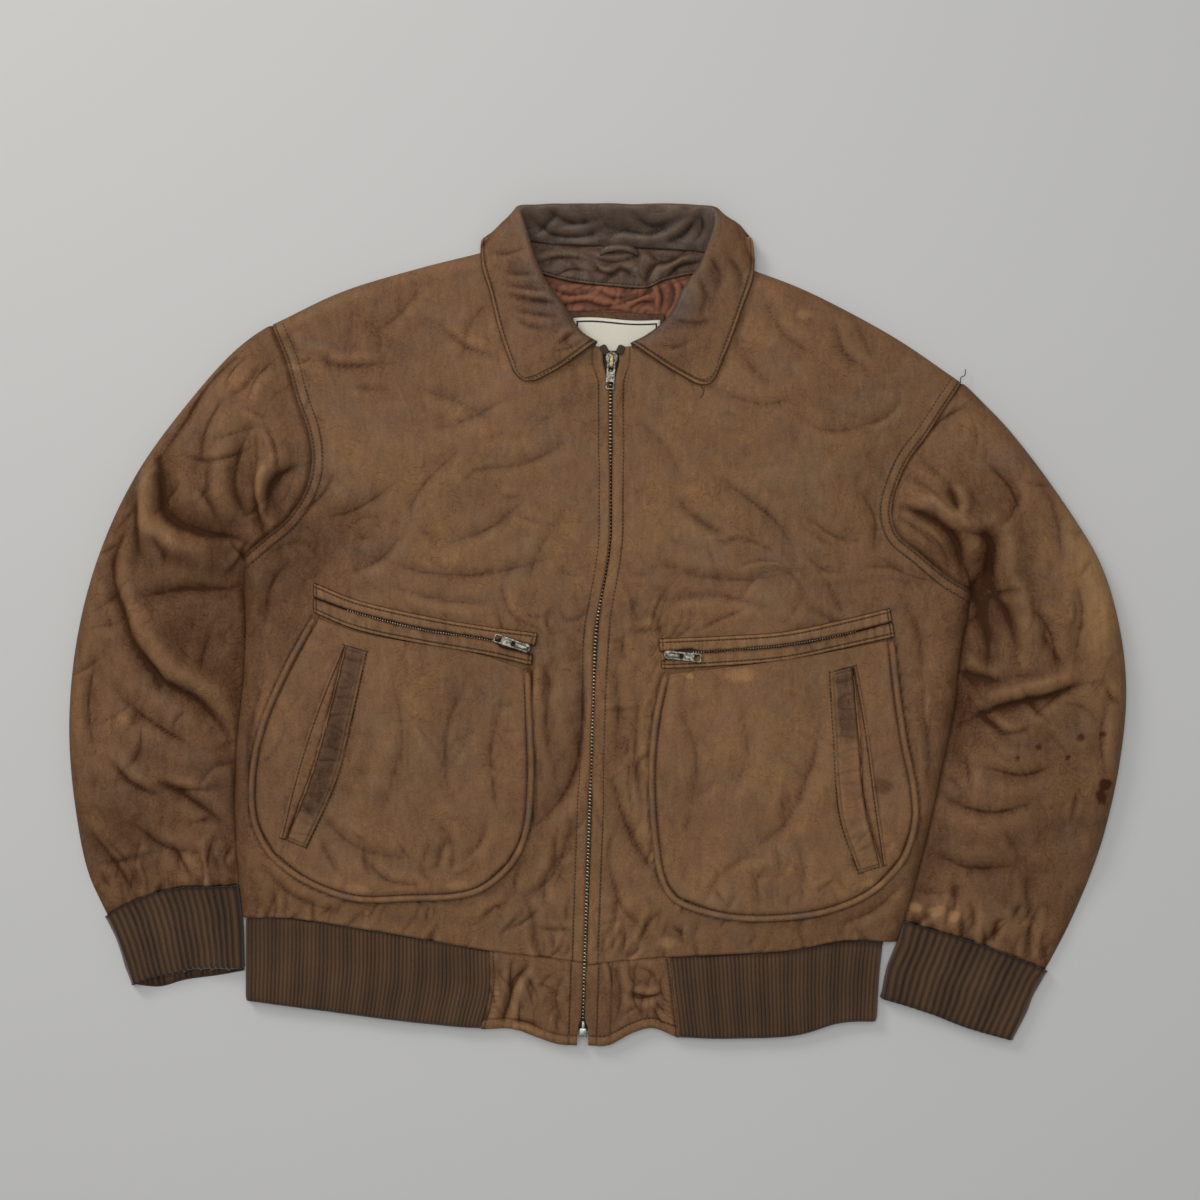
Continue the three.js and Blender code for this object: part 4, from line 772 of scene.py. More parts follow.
def softSwell(x, y, seed, amount):
    # the unevenness of cloth that was never pressed
    return amount * (cloudNoise(x, y, 62, seed) + 0.55 * cloudNoise(x, y, 27, seed + 5)
                     + 0.22 * cloudNoise(x, y, 12, seed + 9))


def lined(x, y, seed, amount):
    # thin worn creases
    return amount * (crumple(x, y, 34, seed) + 0.6 * crumple(x, y, 19, seed + 40))


def cavity(z, rounds=14):
    # how far each place of a grid lies above (+) or below (-) its surroundings, in millimetres
    blurred = z.copy()
    for _ in range(rounds):
        padded = np.pad(blurred, 1, mode="edge")
        blurred = (padded[:-2, 1:-1] + padded[2:, 1:-1] + padded[1:-1, :-2] + padded[1:-1, 2:]) / 4
    return z - blurred


def foldShade(z, strength=0.55, keep=0.6):
    # painted shade in the hollows and painted highlight on the swells of a height grid
    return np.clip(strength * (0.6 * cavity(z, 8) + 0.22 * cavity(z, 40)), -keep, keep)


# patches of tone: (x, y, radius along x, radius along y, darker or paler)
# the darker patches round the armpits and beside the body's sides are painted shade
toneSpots = [
    (-160, 200, 120, 70, 0.03), (-80, 120, 90, 80, 0.02), (-250, 90, 60, 40, -0.12), (-270, 30, 36, 60, -0.18),
    (140, 200, 110, 60, 0.05), (70, 100, 80, 60, 0.05), (150, -130, 70, 80, 0.06), (-380, 0, 60, 140, -0.06),
    (-345, 0, 40, 70, -0.10), (-440, -60, 26, 120, 0.04), (-300, 200, 26, 36, 0.08), (-350, 120, 30, 50, -0.05),
    (-380, -150, 60, 50, -0.06), (-420, -190, 40, 50, -0.03), (432, 40, 26, 90, 0.36), (404, 110, 30, 60, 0.20),
    (340, 170, 40, 34, 0.07), (330, 20, 30, 60, -0.20), (330, -70, 40, 30, -0.14), (390, -120, 50, 60, -0.04),
    (350, -200, 60, 50, -0.02), (310, -246, 40, 16, 0.12), (290, 60, 34, 24, -0.12), (-200, 240, 80, 50, -0.06),
    (200, 230, 70, 50, -0.03), (0, 180, 40, 60, -0.03), (34, -320, 44, 26, -0.10), (-30, -250, 60, 40, 0.05),
    (20, -240, 46, 44, 0.06), (0, -120, 40, 90, -0.04), (-250, -240, 60, 18, -0.05), (200, -262, 70, 16, -0.04),
    (270, -30, 20, 60, -0.06), (-302, -120, 16, 110, -0.07),
]
# small marks: dark spills and pale rubs
markSpots = [
    (434, -136, 5, 5, -0.55), (431, -146, 3.6, 6, -0.55), (377, -104, 2, 2, -0.4), (359, -113, 1.8, 1.8, -0.4),
    (402, -113, 1.8, 1.8, -0.4), (432, -93, 2.2, 2.2, -0.35), (413, -95, 3.4, 3.4, -0.4), (245, -138, 7, 6, -0.22),
    (274, -243, 5, 4, 0.4), (292, -246, 7, 4, 0.35), (306, -250, 5, 4, 0.35), (60, -273, 7, 5, 0.25),
    (122, -42, 12, 5, 0.28), (79, -43, 2, 2, 0.7), (177, 267, 5, 4, 0.2), (-64, -190, 8, 6, 0.1),
    (283, -68, 1.6, 12, 0.22), (-262, 222, 6, 4, 0.2), (-20, 214, 4, 9, -0.1), (-208, -226, 10, 4, 0.14),
    (-120, -222, 9, 4, 0.14), (238, -222, 9, 4, 0.12), (-232, 28, 10, 3, 0.1),
]


def toneAt(x, y):
    total = np.zeros(np.shape(x))
    wobble = cloudNoise(x, y, 9, 77)
    for cx, cy, rx, ry, amount in toneSpots:
        total += amount * np.exp(-((x - cx) / rx) ** 2 - ((y - cy) / ry) ** 2)
    for cx, cy, rx, ry, amount in markSpots:
        away = np.hypot((x - cx) / rx, (y - cy) / ry) + 0.35 * wobble
        total += amount * smoothStep((1.5 - away) / 0.9)
    return total


def leatherShade(grid, edgeDistances=(), strength=0.36, tone=0.0, relief=None):
    # the attributes that every leather piece carries, with painted shade and highlight from its relief; relief is its
    # height above its smooth form
    x, y, z = grid[..., 0], grid[..., 1], grid[..., 2] if relief is None else relief
    far = np.full(x.shape, 99.0)
    found = list(edgeDistances) + [far] * (2 - len(edgeDistances))
    return {"fold": foldShade(z, strength), "tone": toneAt(x, y) + tone, "seamA": found[0], "seamB": found[1]}


print("cut and creases ready")


fineStep = 2.0


def edgeShares(length, step, roundStart=0.0, roundEnd=0.0):
    # even shares of a length, closer together inside the round parts at its ends
    parts = []
    if roundStart:
        parts.append(np.array([0, 0.02, 0.08, 0.18, 0.32, 0.5, 0.72]) * roundStart)
    steps = max(3, round((length - roundStart - roundEnd) / step))
    parts.append(np.linspace(roundStart, length - roundEnd, steps))
    if roundEnd:
        parts.append(length - np.array([0.72, 0.5, 0.32, 0.18, 0.08, 0.02, 0]) * roundEnd)
    return np.concatenate(parts) / length


def frontSurface(x, y, wearer):
    # the height of a front panel, and how much of it is creases
    z = bodyHeight(x, y)
    o = lines[wearer]
    inward = smoothStep(np.minimum(distanceTo(o["side"], x, y), distanceTo(o["shoulder"], x, y)) / 14)
    calm = 1 - 0.65 * underPocket(x, y, wearer)
    move = 1.15 * creaseHeight(x, y, bodyCreases) + softSwell(x, y, 3, 1.2) + lined(x, y, 60, 0.3)
    nearZip = smoothStep((np.abs(x - zipX(y)) - 3) / 9)
    relief = move * inward * calm * (0.35 + 0.65 * nearZip)
    z = z + relief
    # the armhole's lapped seam is pressed into a flat raised strip, 8 mm wide
    toArmhole = distanceTo(o["armhole"], x, y)
    lap = smoothStep((10.5 - toArmhole) / 2.5)
    z = z + lap * 0.7 * smoothStep(distanceTo(o["side"], x, y) / 12)
    # the leather is turned under at the zip
    z = z - 1.3 * (1 - smoothStep((np.abs(x - zipX(y)) - zipGap(y)) / 1.8)) + 0.5 * bell(np.abs(x - zipX(y)) - 6, 4)
    return z, relief


def pocketRim(wearer):
    return np.vstack([lines[wearer]["pocketSide"], lines[wearer]["pocketEnd"], lines[wearer]["pocketInner"][::-1]])


def insidePocket(wearer):
    o = lines[wearer]
    return np.vstack([o["pocketSide"][:-1], o["pocketEnd"][:-1], o["pocketInner"][::-1][:-1], o["weltTop"][::-1]])


def underPocket(x, y, wearer):
    # 1 well inside the pocket's outline, 0 outside
    outline = insidePocket(wearer)
    distance = distanceTo(np.vstack([outline, outline[:1]]), x, y)
    inside = np.zeros(np.shape(x), dtype=bool)
    for a, b in zip(outline, np.roll(outline, -1, axis=0)):
        crosses = (a[1] > y) != (b[1] > y)
        inside ^= crosses & (x < (b[0] - a[0]) * (y - a[1]) / (b[1] - a[1] + 1e-12) + a[0])
    return np.where(inside, smoothStep(distance / 8), 0)


def frontPanel(wearer):
    o, sign = lines[wearer], signs[wearer]
    armpitShare = 0.52
    sideRows = int(285 / fineStep)
    armRows = int(225 / fineStep)
    side = pointsAlong(o["side"], evenly(sideRows + 1))
    armhole = pointsAlong(o["armhole"], np.linspace(1, 0, armRows + 1))
    outer = np.vstack([side[:-1], armhole])
    us = np.concatenate([np.linspace(0, armpitShare, sideRows + 1)[:-1], np.linspace(armpitShare, 1, armRows + 1)])
    vs = edgeShares(290, fineStep, 3.0, 9.0)
    innerY = outlines[wearer]["hem"][0][1] + (239 - outlines[wearer]["hem"][0][1]) * us
    inner = besideZip(innerY, sign)
    bottom = pointsAlong(o["hem"], vs)
    top = pointsAlong(np.vstack([o["neck"][::-1], o["shoulder"][::-1][1:]]), vs)
    bottom[0], top[0], outer[0], outer[-1] = inner[0], inner[-1], bottom[-1], top[-1]
    flat = coons(inner, outer, bottom, top, us, vs)
    x, y = flat.transpose(2, 0, 1)
    z, relief = frontSurface(x, y, wearer)
    toSide, _, sideShare = nearestOn(o["side"], x, y)
    full = bodyHeight(x - sign * 12 * (toSide < 12), y)
    # the side swells out over the sleeve that lies beside it
    bulge = 3.2 * np.sin(math.pi * np.clip(z / np.maximum(full, 1), 0, 1)) * (toSide < reach["side"]) \
        * smoothStep((1 - sideShare) / 0.1) * (1 + 0.35 * cloudNoise(y, y * 0, 34, 8))
    x = x + sign * bulge
    grid = np.stack([x, y, np.maximum(z, 0.3)], -1)
    toZip = np.abs(x - zipX(y)) - zipGap(y)
    toArmhole = distanceTo(o["armhole"], x, y)
    toShoulder = distanceTo(o["shoulder"], x, y)
    shade = leatherShade(grid, [np.abs(toZip - 9.5), np.minimum(np.abs(toArmhole - 2.2), np.abs(toArmhole - 9.2))],
                         relief=relief)
    creaseShadow = creaseShadowLines(x, y, bodyCreases) * smoothStep((toZip - 2) / 6) * smoothStep(toSide / 10) \
        * (1 - underPocket(x, y, wearer))
    toRim = distanceTo(pocketRim(wearer), x, y)
    # painted shadow beside the pocket's piping, painted shade in the armhole seam with a painted highlight on its
    # lapped strip, and painted shadow in the creases
    shade["fold"] -= 0.6 * bell(toRim - 3.4, 1.0) * (sign * (x - 12) > 30)
    shade["fold"] = shade["fold"] - 0.30 * bell(toArmhole, 1.2) + 0.06 * bell(toArmhole - 5, 3) - 0.55 * creaseShadow
    # paler by the shoulder seam and the zip; painted shade on the rounded side below the armpit
    shade["tone"] = shade["tone"] + 0.04 * bell(toShoulder - 8, 5) + 0.05 * bell(toZip - 3, 4) \
        - 0.10 * bell(toSide, 12) * smoothStep((80 - y) / 30)
    clothPiece("frontPanel", "front", grid, cloth["leather"], brownLeather, shade, wearer, flip=sign < 0)


for wearer in lines:
    frontPanel(wearer)
print("front panels made")


def sleevePlan(wearer):
    # the sleeve's plan: rows from the shoulder tip to the cuff, columns from the outer edge to the inner one
    o, sign = lines[wearer], signs[wearer]
    side = o["side"][::-1].copy()
    side[:, 0] += sign * (1.0 - 3.4 * (1 - smoothStep(evenly(len(side)) / 0.12)))
    cuffTop = np.array(outlines[wearer]["cuffInner"][0], dtype=float)
    side = side[side[:, 1] > cuffTop[1] + 6]
    inner = np.vstack([o["armhole"][1:-2], side, cuffTop])
    rows = int(510 / fineStep)
    us = evenly(rows)
    inner = pointsAlong(inner, us)
    outer = pointsAlong(o["sleeveOuter"], 0.006 + 0.994 * us)
    vs = edgeShares(150, fineStep * 0.9, 16.0, 6.0)
    tip = outer[0] * (1 - vs[:, None]) + inner[0] * vs[:, None]
    cuff = pointsAlong(o["cuffSeam"], vs)
    outer[-1], inner[-1] = cuff[0], cuff[-1]
    return coons(outer, inner, tip, cuff, us, vs)


def sleeveSurface(x, y, wearer):
    o, shape = lines[wearer], outlines[wearer]
    toArmhole, _, armShare = nearestOn(o["armhole"], x, y)
    toBody = distanceTo(o["side"], x, y)
    tipY, cuffY = shape["armhole"][0][1], shape["cuffInner"][0][1]
    down = (tipY - y) / (tipY - cuffY)
    full = heights["sleeve"] - 5 * smoothStep((down - 0.3) / 0.5) - 10 * smoothStep((down - 0.8) / 0.2)
    underArm = heights["underArm"]
    shaped = underArm * roundOver(toBody, reach["underArm"]) + (full - underArm) * smoothStep(toBody / 60)
    toEdge = distanceTo(o["sleeveOuter"], x, y)
    inward = smoothStep(toEdge / 16) * smoothStep(toBody / 10)
    toCuff = distanceTo(o["cuffSeam"], x, y)
    move = 1.3 * creaseHeight(x, y, sleeveCreases[wearer]) + softSwell(x, y, 13, 1.8) + lined(x, y, 71, 0.3)
    rounded = shaped * roundOver(toEdge, reach["sleeve"])
    free = rounded + move * (0.12 + 0.88 * inward)
    on = np.stack([np.interp(armShare, evenly(len(o["armhole"])), o["armhole"][:, k]) for k in (0, 1)])
    joined = bodyHeight(on[0], on[1])
    blend = smoothStep(toArmhole / 34)
    z = joined * (1 - blend) + free * blend + (1 - blend) * 0.7 * move
    # a fold never reaches the floor: the lower layer lies under it
    least = 4.6 * roundOver(np.minimum(toEdge, toBody + 3), 14)
    z = 0.5 * (z + least + np.sqrt((z - least) ** 2 + 4.0 * smoothStep(rounded / 8)))
    # it goes in under the body's lapped edge, and is gathered into the cuff
    z = z - 2.4 * (1 - smoothStep(toArmhole / 5)) * smoothStep(toBody / 8)
    pucker = np.sin(x / 2.6 + 2.2 * cloudNoise(x, y, 24, 5)) * 0.8 * bell(toCuff, 14)
    relief = (free - rounded) * blend + (1 - blend) * 0.7 * move + pucker * inward
    return z + pucker * inward - 1.6 * bell(toCuff, 4), relief


def sleeve(wearer):
    o, sign = lines[wearer], signs[wearer]
    flat = sleevePlan(wearer)
    x, y = flat.transpose(2, 0, 1)
    z, relief = sleeveSurface(x, y, wearer)
    grid = np.stack([x, y, np.maximum(z, 0.3)], -1)
    toArmhole = distanceTo(o["armhole"], x, y)
    shade = leatherShade(grid, strength=0.36, relief=relief)
    creaseShadow = creaseShadowLines(x, y, sleeveCreases[wearer], 1.0) * smoothStep(toArmhole / 6)
    # painted shade in the armhole seam and painted shadow in the creases
    shade["fold"] = np.clip(shade["fold"] - 0.35 * bell(toArmhole, 2.2) - 0.65 * creaseShadow, -0.9, 0.5)
    # a little darker overall and at the outer edge, with a painted shadow beside the body's edge, which lies over the
    # sleeve
    edge = bell(distanceTo(o["sleeveOuter"], x, y), 12)
    shade["tone"] = shade["tone"] - 0.05 - 0.06 * edge - 0.14 * bell(distanceTo(o["side"], x, y), 18)
    clothPiece("sleeve", "sleeve_top", grid, cloth["leather"], brownLeather, shade, wearer, flip=sign < 0)


def underside(wearer):
    # the sleeve's underside lies flat on the floor, inside the rim of its top
    plan = sleevePlan(wearer)[::4, ::3]
    middle = plan.mean(1, keepdims=True)
    away = np.linalg.norm(plan - middle, axis=2, keepdims=True)
    plan = middle + (plan - middle) * (1 - 2.2 / np.maximum(away, 8))
    grid = np.concatenate([plan, np.full(plan.shape[:2] + (1,), 1.5)], 2)
    clothPiece("sleeveUnderside", "sleeve_under", grid, 1.2, plainLeather, leatherShade(grid), wearer,
               flip=signs[wearer] < 0)


def backPanel():
    # the back lies flat under the rest, inside the rims of the fronts, which wrap down to it
    shares = evenly(90)
    sides = [pointsAlong(np.vstack([o["side"][:-1], o["armhole"][::-1]]), shares) for o in lines.values()]
    across = evenly(100)
    bottom = np.stack([sides[0][0, 0] * (1 - across) + sides[1][0, 0] * across] * 2, 1)
    bottom[:, 1] = backHemY(bottom[:, 0])
    top = pointsAlong(np.vstack([lines["right"]["shoulder"], [(16, 326)], lines["left"]["shoulder"][::-1]]), across)
    for k, side in enumerate(sides):
        side[0], side[-1] = bottom[-k], top[-k]
    flat = coons(sides[0], sides[1], bottom, top, shares, across)
    middle = np.array([5.0, 20.0])
    away = np.linalg.norm(flat - middle, axis=2, keepdims=True)
    flat = middle + (flat - middle) * (1 - 5 / np.maximum(away, 20))
    grid = np.concatenate([flat, np.full(flat.shape[:2] + (1,), 1.7)], 2)
    clothPiece("backPanel", "back", grid, 1.4, plainLeather, leatherShade(grid))


for make in (sleeve, underside):
    for wearer in lines:
        make(wearer)
backPanel()
print("sleeves and back made")


collar = {"thickness": 2.2, "stitchInset": 3.6, "tipRadius": 19}
# sections from the wearer's right end round the back to the left end, each following the face that shows:
# neck seam, roll line, top of the roll, middle of the fall, free edge
collarSections = [
    [(-3, 239, 15.5), (0, 243, 20), (-3, 241, 23.5), (-30, 222, 22), (-67, 202.5, 20.5)],
    [(-28, 244, 15.5), (-14, 252, 21), (-17, 250, 25), (-46, 232, 23), (-73, 219, 20.5)],
    [(-52, 267, 15.5), (-28, 273, 21), (-32, 272, 25), (-58, 258, 23), (-84, 250, 20)],
    [(-67, 297, 13.5), (-45, 297, 21), (-49, 298, 25), (-71, 291, 22), (-93, 286, 18.5)],
    [(-71, 320, 10), (-54, 318, 21), (-58, 320, 25), (-79, 316, 21), (-100, 311, 15.5)],
    [(-72, 332, 7), (-59, 335, 22), (-63, 338, 25), (-84, 338, 19), (-99, 334, 5)],
    [(-69, 333, 6), (-63, 348, 22), (-67, 351, 24), (-84, 345, 13), (-88, 341, 3)],
    [(-60, 332, 5.4), (-65, 357, 22), (-69, 358, 20), (-73, 352, 9), (-68, 345, 3)],
    [(-44, 330, 5.2), (-48, 359, 22), (-49, 361, 18.5), (-49, 357, 8), (-46, 345, 3)],
    [(16, 327, 5.2), (16, 359, 22), (16, 361.5, 18.5), (16, 358, 8), (16, 343, 3)],
    [(76, 324, 5.2), (82, 358, 22), (83, 360.5, 18.5), (83, 356, 8), (79, 342, 3)],
    [(92, 322, 5.4), (99, 356, 22), (103, 357, 20), (107, 351, 9), (102, 342, 3)],
    [(101, 321, 6), (99, 344, 22), (103, 347, 24), (121, 345, 14), (129, 339, 4)],
    [(103, 319, 7), (94, 327, 22), (98, 329, 25), (121, 328, 19), (134.5, 321, 9)],
    [(102, 307, 10), (87, 309, 21), (91, 311, 25), (113, 306, 21), (134, 300, 15.5)],
    [(97, 285, 13.5), (74, 290, 21), (78, 290, 25), (102, 281, 22), (125, 274, 18.5)],
    [(80, 261, 15.5), (60, 264, 21), (64, 263, 25), (89, 251, 23), (114, 243, 20)],
    [(54, 244, 15.5), (42, 249, 21), (46, 247, 25), (73, 231, 23), (103.5, 217, 20.5)],
    [(30, 239, 15.5), (28, 242, 20), (31, 240, 23.5), (58, 222, 22), (98.5, 199, 20.5)],
]
collarCreases = [
    (3.4, 0.9, 0.5, -52, 301, -66, 300, -82, 304), (3.4, 1.1, 0.6, -42, 286, -60, 288, -77, 291),
    (3.4, 1.6, -0.6, -28, 275, -54, 278, -78, 284), (3.4, 1.2, 0.6, -33, 264, -54, 266, -71, 271),
    (3.4, 0.9, 0.5, -46, 253, -58, 256, -70, 262), (3.4, 1.6, -0.6, -16, 253, -23, 248, -34, 240),
    (3.4, 0.9, 0.5, -26, 252, -27, 245, -24, 239), (3.4, 0.9, 0.6, -8, 246, -22, 238, -36, 234),
    (3.4, 0.9, 0.5, -62, 322, -78, 318, -92, 320), (5.0, 1.0, 0.5, 92, 320, 104, 300, 102, 284),
    (4.0, 1.0, -0.5, 84, 300, 92, 282, 86, 262), (4.0, 0.9, 0.6, 62, 262, 82, 258, 100, 262),
    (4.0, 0.7, -0.5, 48, 240, 66, 238, 84, 246), (4.0, 0.8, 0.5, 112, 316, 122, 300, 120, 280),
]
standCreases = [
    (3.4, 1.9, 0.7, -58, 350, -40, 338, -14, 336, 8, 344), (3.0, 1.6, -0.6, -56, 336, -44, 345, -36, 354),
    (3.0, 1.4, 0.5, -44, 356, -20, 346, 4, 350), (3.4, 1.9, -0.7, 4, 332, 20, 340, 44, 338, 64, 344),
    (3.2, 1.6, 0.6, 30, 354, 46, 344, 72, 350), (3.4, 2.0, 0.7, 58, 330, 74, 338, 86, 350),
    (3.0, 1.5, -0.6, 84, 330, 90, 342, 88, 354), (2.6, 1.2, 0.6, -30, 330, -12, 326, 10, 330),
]


def gridDistances(grid, axis, fromEnd=False):
    # length along the rows or columns of a grid, measured from its start or its end
    steps = np.linalg.norm(np.diff(grid, axis=axis), axis=-1)
    shape = list(grid.shape[:2])
    shape[axis] = 1
    along = np.concatenate([np.zeros(shape), np.cumsum(steps, axis=axis)], axis=axis)
    return np.take(along, [-1], axis=axis) - along if fromEnd else along


def makeCollar():
    sections = []
    for neck, roll, top, fall, edge in collarSections:
        middle = [(neck[k] + roll[k]) / 2 - (k == 2) for k in range(3)]
        sections.append(splineThrough([neck, middle, roll, top, fall, edge], 13))
    sections = np.array(sections)
    columns = [splineThrough(sections[:, k], 22) for k in range(sections.shape[1])]
    grid = np.stack(columns, 1)
    # both tips are rounded: the square corner of the grid is bent into a quarter circle
    for last in (False, True):
        fromFront, fromFall = gridDistances(grid, 0, last), gridDistances(grid, 1, True)
        r = collar["tipRadius"]
        u, v = np.clip(1 - fromFront / r, 0, 1), np.clip(1 - fromFall / r, 0, 1)
        rows = grid[::-1] if last else grid
        alongFall, alongFront = rows[40, -1] - rows[0, -1], rows[0, -14] - rows[0, -1]
        for moved, along in ((r * u * (1 - np.sqrt(1 - v * v / 2)), alongFall),
                             (r * v * (1 - np.sqrt(1 - u * u / 2)), alongFront)):
            grid = grid + moved[..., None] * (along / np.linalg.norm(along))
    x, y, z = grid[..., 0], grid[..., 1], grid[..., 2]
    share = evenly(grid.shape[1])[None, :] + 0 * x
    toEdge = np.minimum(gridDistances(grid, 1, True), np.minimum(gridDistances(grid, 0), gridDistances(grid, 0, True))
                        + 99 * (share < 0.42))
    fall = smoothStep((share - 0.55) / 0.12)
    stand = 1 - smoothStep((share - 0.36) / 0.08)
    for wearer in lines:
        under = frontSurface(x, y, wearer)[0] + collar["thickness"] + 0.9
        z = np.where((share > 0.58) & (y < 334) & (z > 6), np.maximum(z, under), z)
    z = z + fall * (creaseHeight(x, y, collarCreases) + 0.5 * softSwell(x, y, 15, 1.2) + lined(x, y, 85, 0.25))
    z = z + stand * (creaseHeight(x, y, standCreases) + lined(x, y, 88, 1.0) + 0.6 * softSwell(x, y, 16, 1.6))
    wave = cloudNoise(x, y * 0, 26, 31) * 1.1
    y = y + wave * smoothStep((y - 350) / 8)
    # the edge is turned and stitched down, so it is a thin roll
    z = z + 0.5 * bell(toEdge - 1.6, 1.3) - 0.5 * bell(toEdge - collar["stitchInset"], 0.9) - 1.0 * bell(toEdge, 0.6)
    grid = np.stack([x, y, z], -1)
    # painted shade and highlight from the relief, and painted shadow in the creases of the fall and the stand
    shade = leatherShade(grid, [np.abs(toEdge - collar["stitchInset"])], strength=0.5)
    creaseShadow = fall * creaseShadowLines(x, y, collarCreases, 1.5) + stand * creaseShadowLines(x, y, standCreases, 1.3)
    shade["fold"] = np.clip(shade["fold"] - 0.62 * creaseShadow, -0.8, 0.5)
    inside = 1 - smoothStep((share - 0.30 + 0.05 * cloudNoise(x, y, 18, 4)) / 0.34)
    grey = 0.45 * bell(share - 0.55, 0.16) * (0.5 + 0.5 * smoothStep(cloudNoise(x, y, 30, 61) + 0.6))
    # grease has darkened the roll where the neck rubs it
    rubbed = bell(share - 0.66, 0.14) * smoothStep((y - 246) / 12) * smoothStep((318 - y) / 14)
    shade["worn"] = np.clip(0.9 * inside + grey + 0.42 * rubbed * (0.6 + 0.5 * cloudNoise(x, y, 22, 63)), 0, 1)
    # its last term is a painted highlight along the rolled edge
    shade["tone"] = shade["tone"] - 0.05 + 0.10 * inside - 0.08 * rubbed + 0.05 * bell(toEdge - 1, 1.5)
    clothPiece("foldedCollar", "collar", grid[::-1], collar["thickness"], brownLeather,
               {key: values[::-1] for key, values in shade.items()}, lowest=0.3)


makeCollar()
print("collar made")


def laidGrid(lowLine, highLine, across, up):
    # rows from the low line to the high one
    low = pointsAlong(np.array(lowLine, dtype=float), evenly(across))
    high = pointsAlong(np.array(highLine, dtype=float), evenly(across))
    t = evenly(up)[:, None, None]
    return low[None] * (1 - t) + high[None] * t


def neckFacing():
    # a yoke of the same hide, worn dark, between the collar's stand and the lining
    low = splineThrough([(-64, 306), (-52, 304), (-21, 296.5), (10, 293), (43, 291.5), (58, 298), (84, 303),
                         (96, 300)])
    high = splineThrough([(-66, 334), (-30, 331), (16, 330), (60, 328), (99, 324)])
    flat = laidGrid(low, high, 120, 36)
    x, y = flat.transpose(2, 0, 1)
    toLow = gridDistances(flat, 0)
    z = 5.4 - 2.4 * smoothStep((y - 318) / 12)
    creases = [
        (3.4, 1.4, 0.7, -56, 312, -34, 318, -8, 316), (3.0, 1.2, -0.7, -40, 300, -24, 308, -6, 306),
        (3.4, 1.3, 0.7, 6, 296, 20, 308, 34, 300), (4.0, 2.6, -0.9, 40, 296, 50, 312, 70, 318),
        (3.2, 2.0, 0.7, 60, 300, 70, 310, 90, 314), (3.2, 1.2, 0.6, -14, 322, 14, 314, 40, 322),
        (2.2, 1.4, 0.7, -4, 314, 2, 306, 18, 303), (2.4, 1.6, -0.6, 44, 322, 58, 314, 74, 322)]
    z = z + creaseHeight(x, y, creases)
    z = z + lined(x, y, 92, 0.7) + 0.5 * softSwell(x, y, 17, 1.4)
    z = z + 0.6 * bell(toLow - 2, 1.5) - 0.8 * bell(toLow, 0.8)
    grid = np.stack([x, y, np.maximum(z, 3.0)], -1)
    # painted shade and highlight from the relief, and painted shadow in the creases
    shade = leatherShade(grid, [np.abs(toLow - 3)], strength=0.7)
    shade["fold"] = np.clip(shade["fold"] - 0.6 * creaseShadowLines(x, y, creases, 0.8), -0.9, 0.5)
    shade["worn"] = np.full(x.shape, 0.62)
    shade["tone"] = np.full(x.shape, -0.12)
    clothPiece("neckFacing", "neck_facing", grid, 1.2, brownLeather, shade, lowest=2.2)


liningCreases = [
    (2.8, 2.0, 0.7, -58, 296, -44, 284, -40, 268), (2.4, 1.4, -0.6, -40, 292, -24, 286, -8, 288),
    (2.6, 1.8, 0.8, -34, 276, -12, 280, 6, 276, 24, 279), (2.4, 1.6, 0.6, 0, 290, 14, 283, 30, 286),
    (2.2, 1.8, -0.8, 20, 280, 36, 284, 48, 290), (2.2, 1.8, 0.8, 28, 274, 38, 280, 50, 279),
    (2.6, 2.0, -0.8, 52, 296, 56, 284, 54, 272), (2.6, 2.0, 0.8, 62, 300, 66, 288, 62, 274),
    (2.4, 1.6, 0.6, 70, 298, 78, 286, 74, 272), (2.2, 1.3, 0.6, -52, 274, -30, 270, -8, 272),
    (1.8, 1.0, -0.6, -20, 270, 8, 273, 34, 270), (2.2, 1.2, -0.7, -54, 286, -36, 280, -24, 270),
]


def neckLining():
    flat = laidGrid([(-50, 200), (82, 200)], [(-64, 306), (96, 304)], 130, 100)
    x, y = flat.transpose(2, 0, 1)
    z = 4.4 + creaseHeight(x, y, liningCreases) + lined(x, y, 95, 0.9) + 0.8 * crumple(x, y, 9, 97) \
        + 1.2 * cloudNoise(x, y, 22, 98) - 1.4 * smoothStep((y - 292) / 8)
    label = smoothStep((267 - y) / 4)
    z = np.clip(z * (1 - label) + 3.2 * label, 2.6, 4.6 + 2.4 * smoothStep((296 - y) / 10))
    grid = np.stack([x, y, z], -1)
    # painted shade and highlight from the satin's relief, and painted shadow in its creases
    shade = foldShade(z, 0.7) - 0.5 * creaseShadowLines(x, y, liningCreases, 0.8)
    clothPiece("neckLining", "lining", grid, 0.5, satin, {"fold": shade}, lowest=0.6)


label = {"low": (-21, 222), "high": (54, 265.4), "border": 1.5, "inset": 2.6}


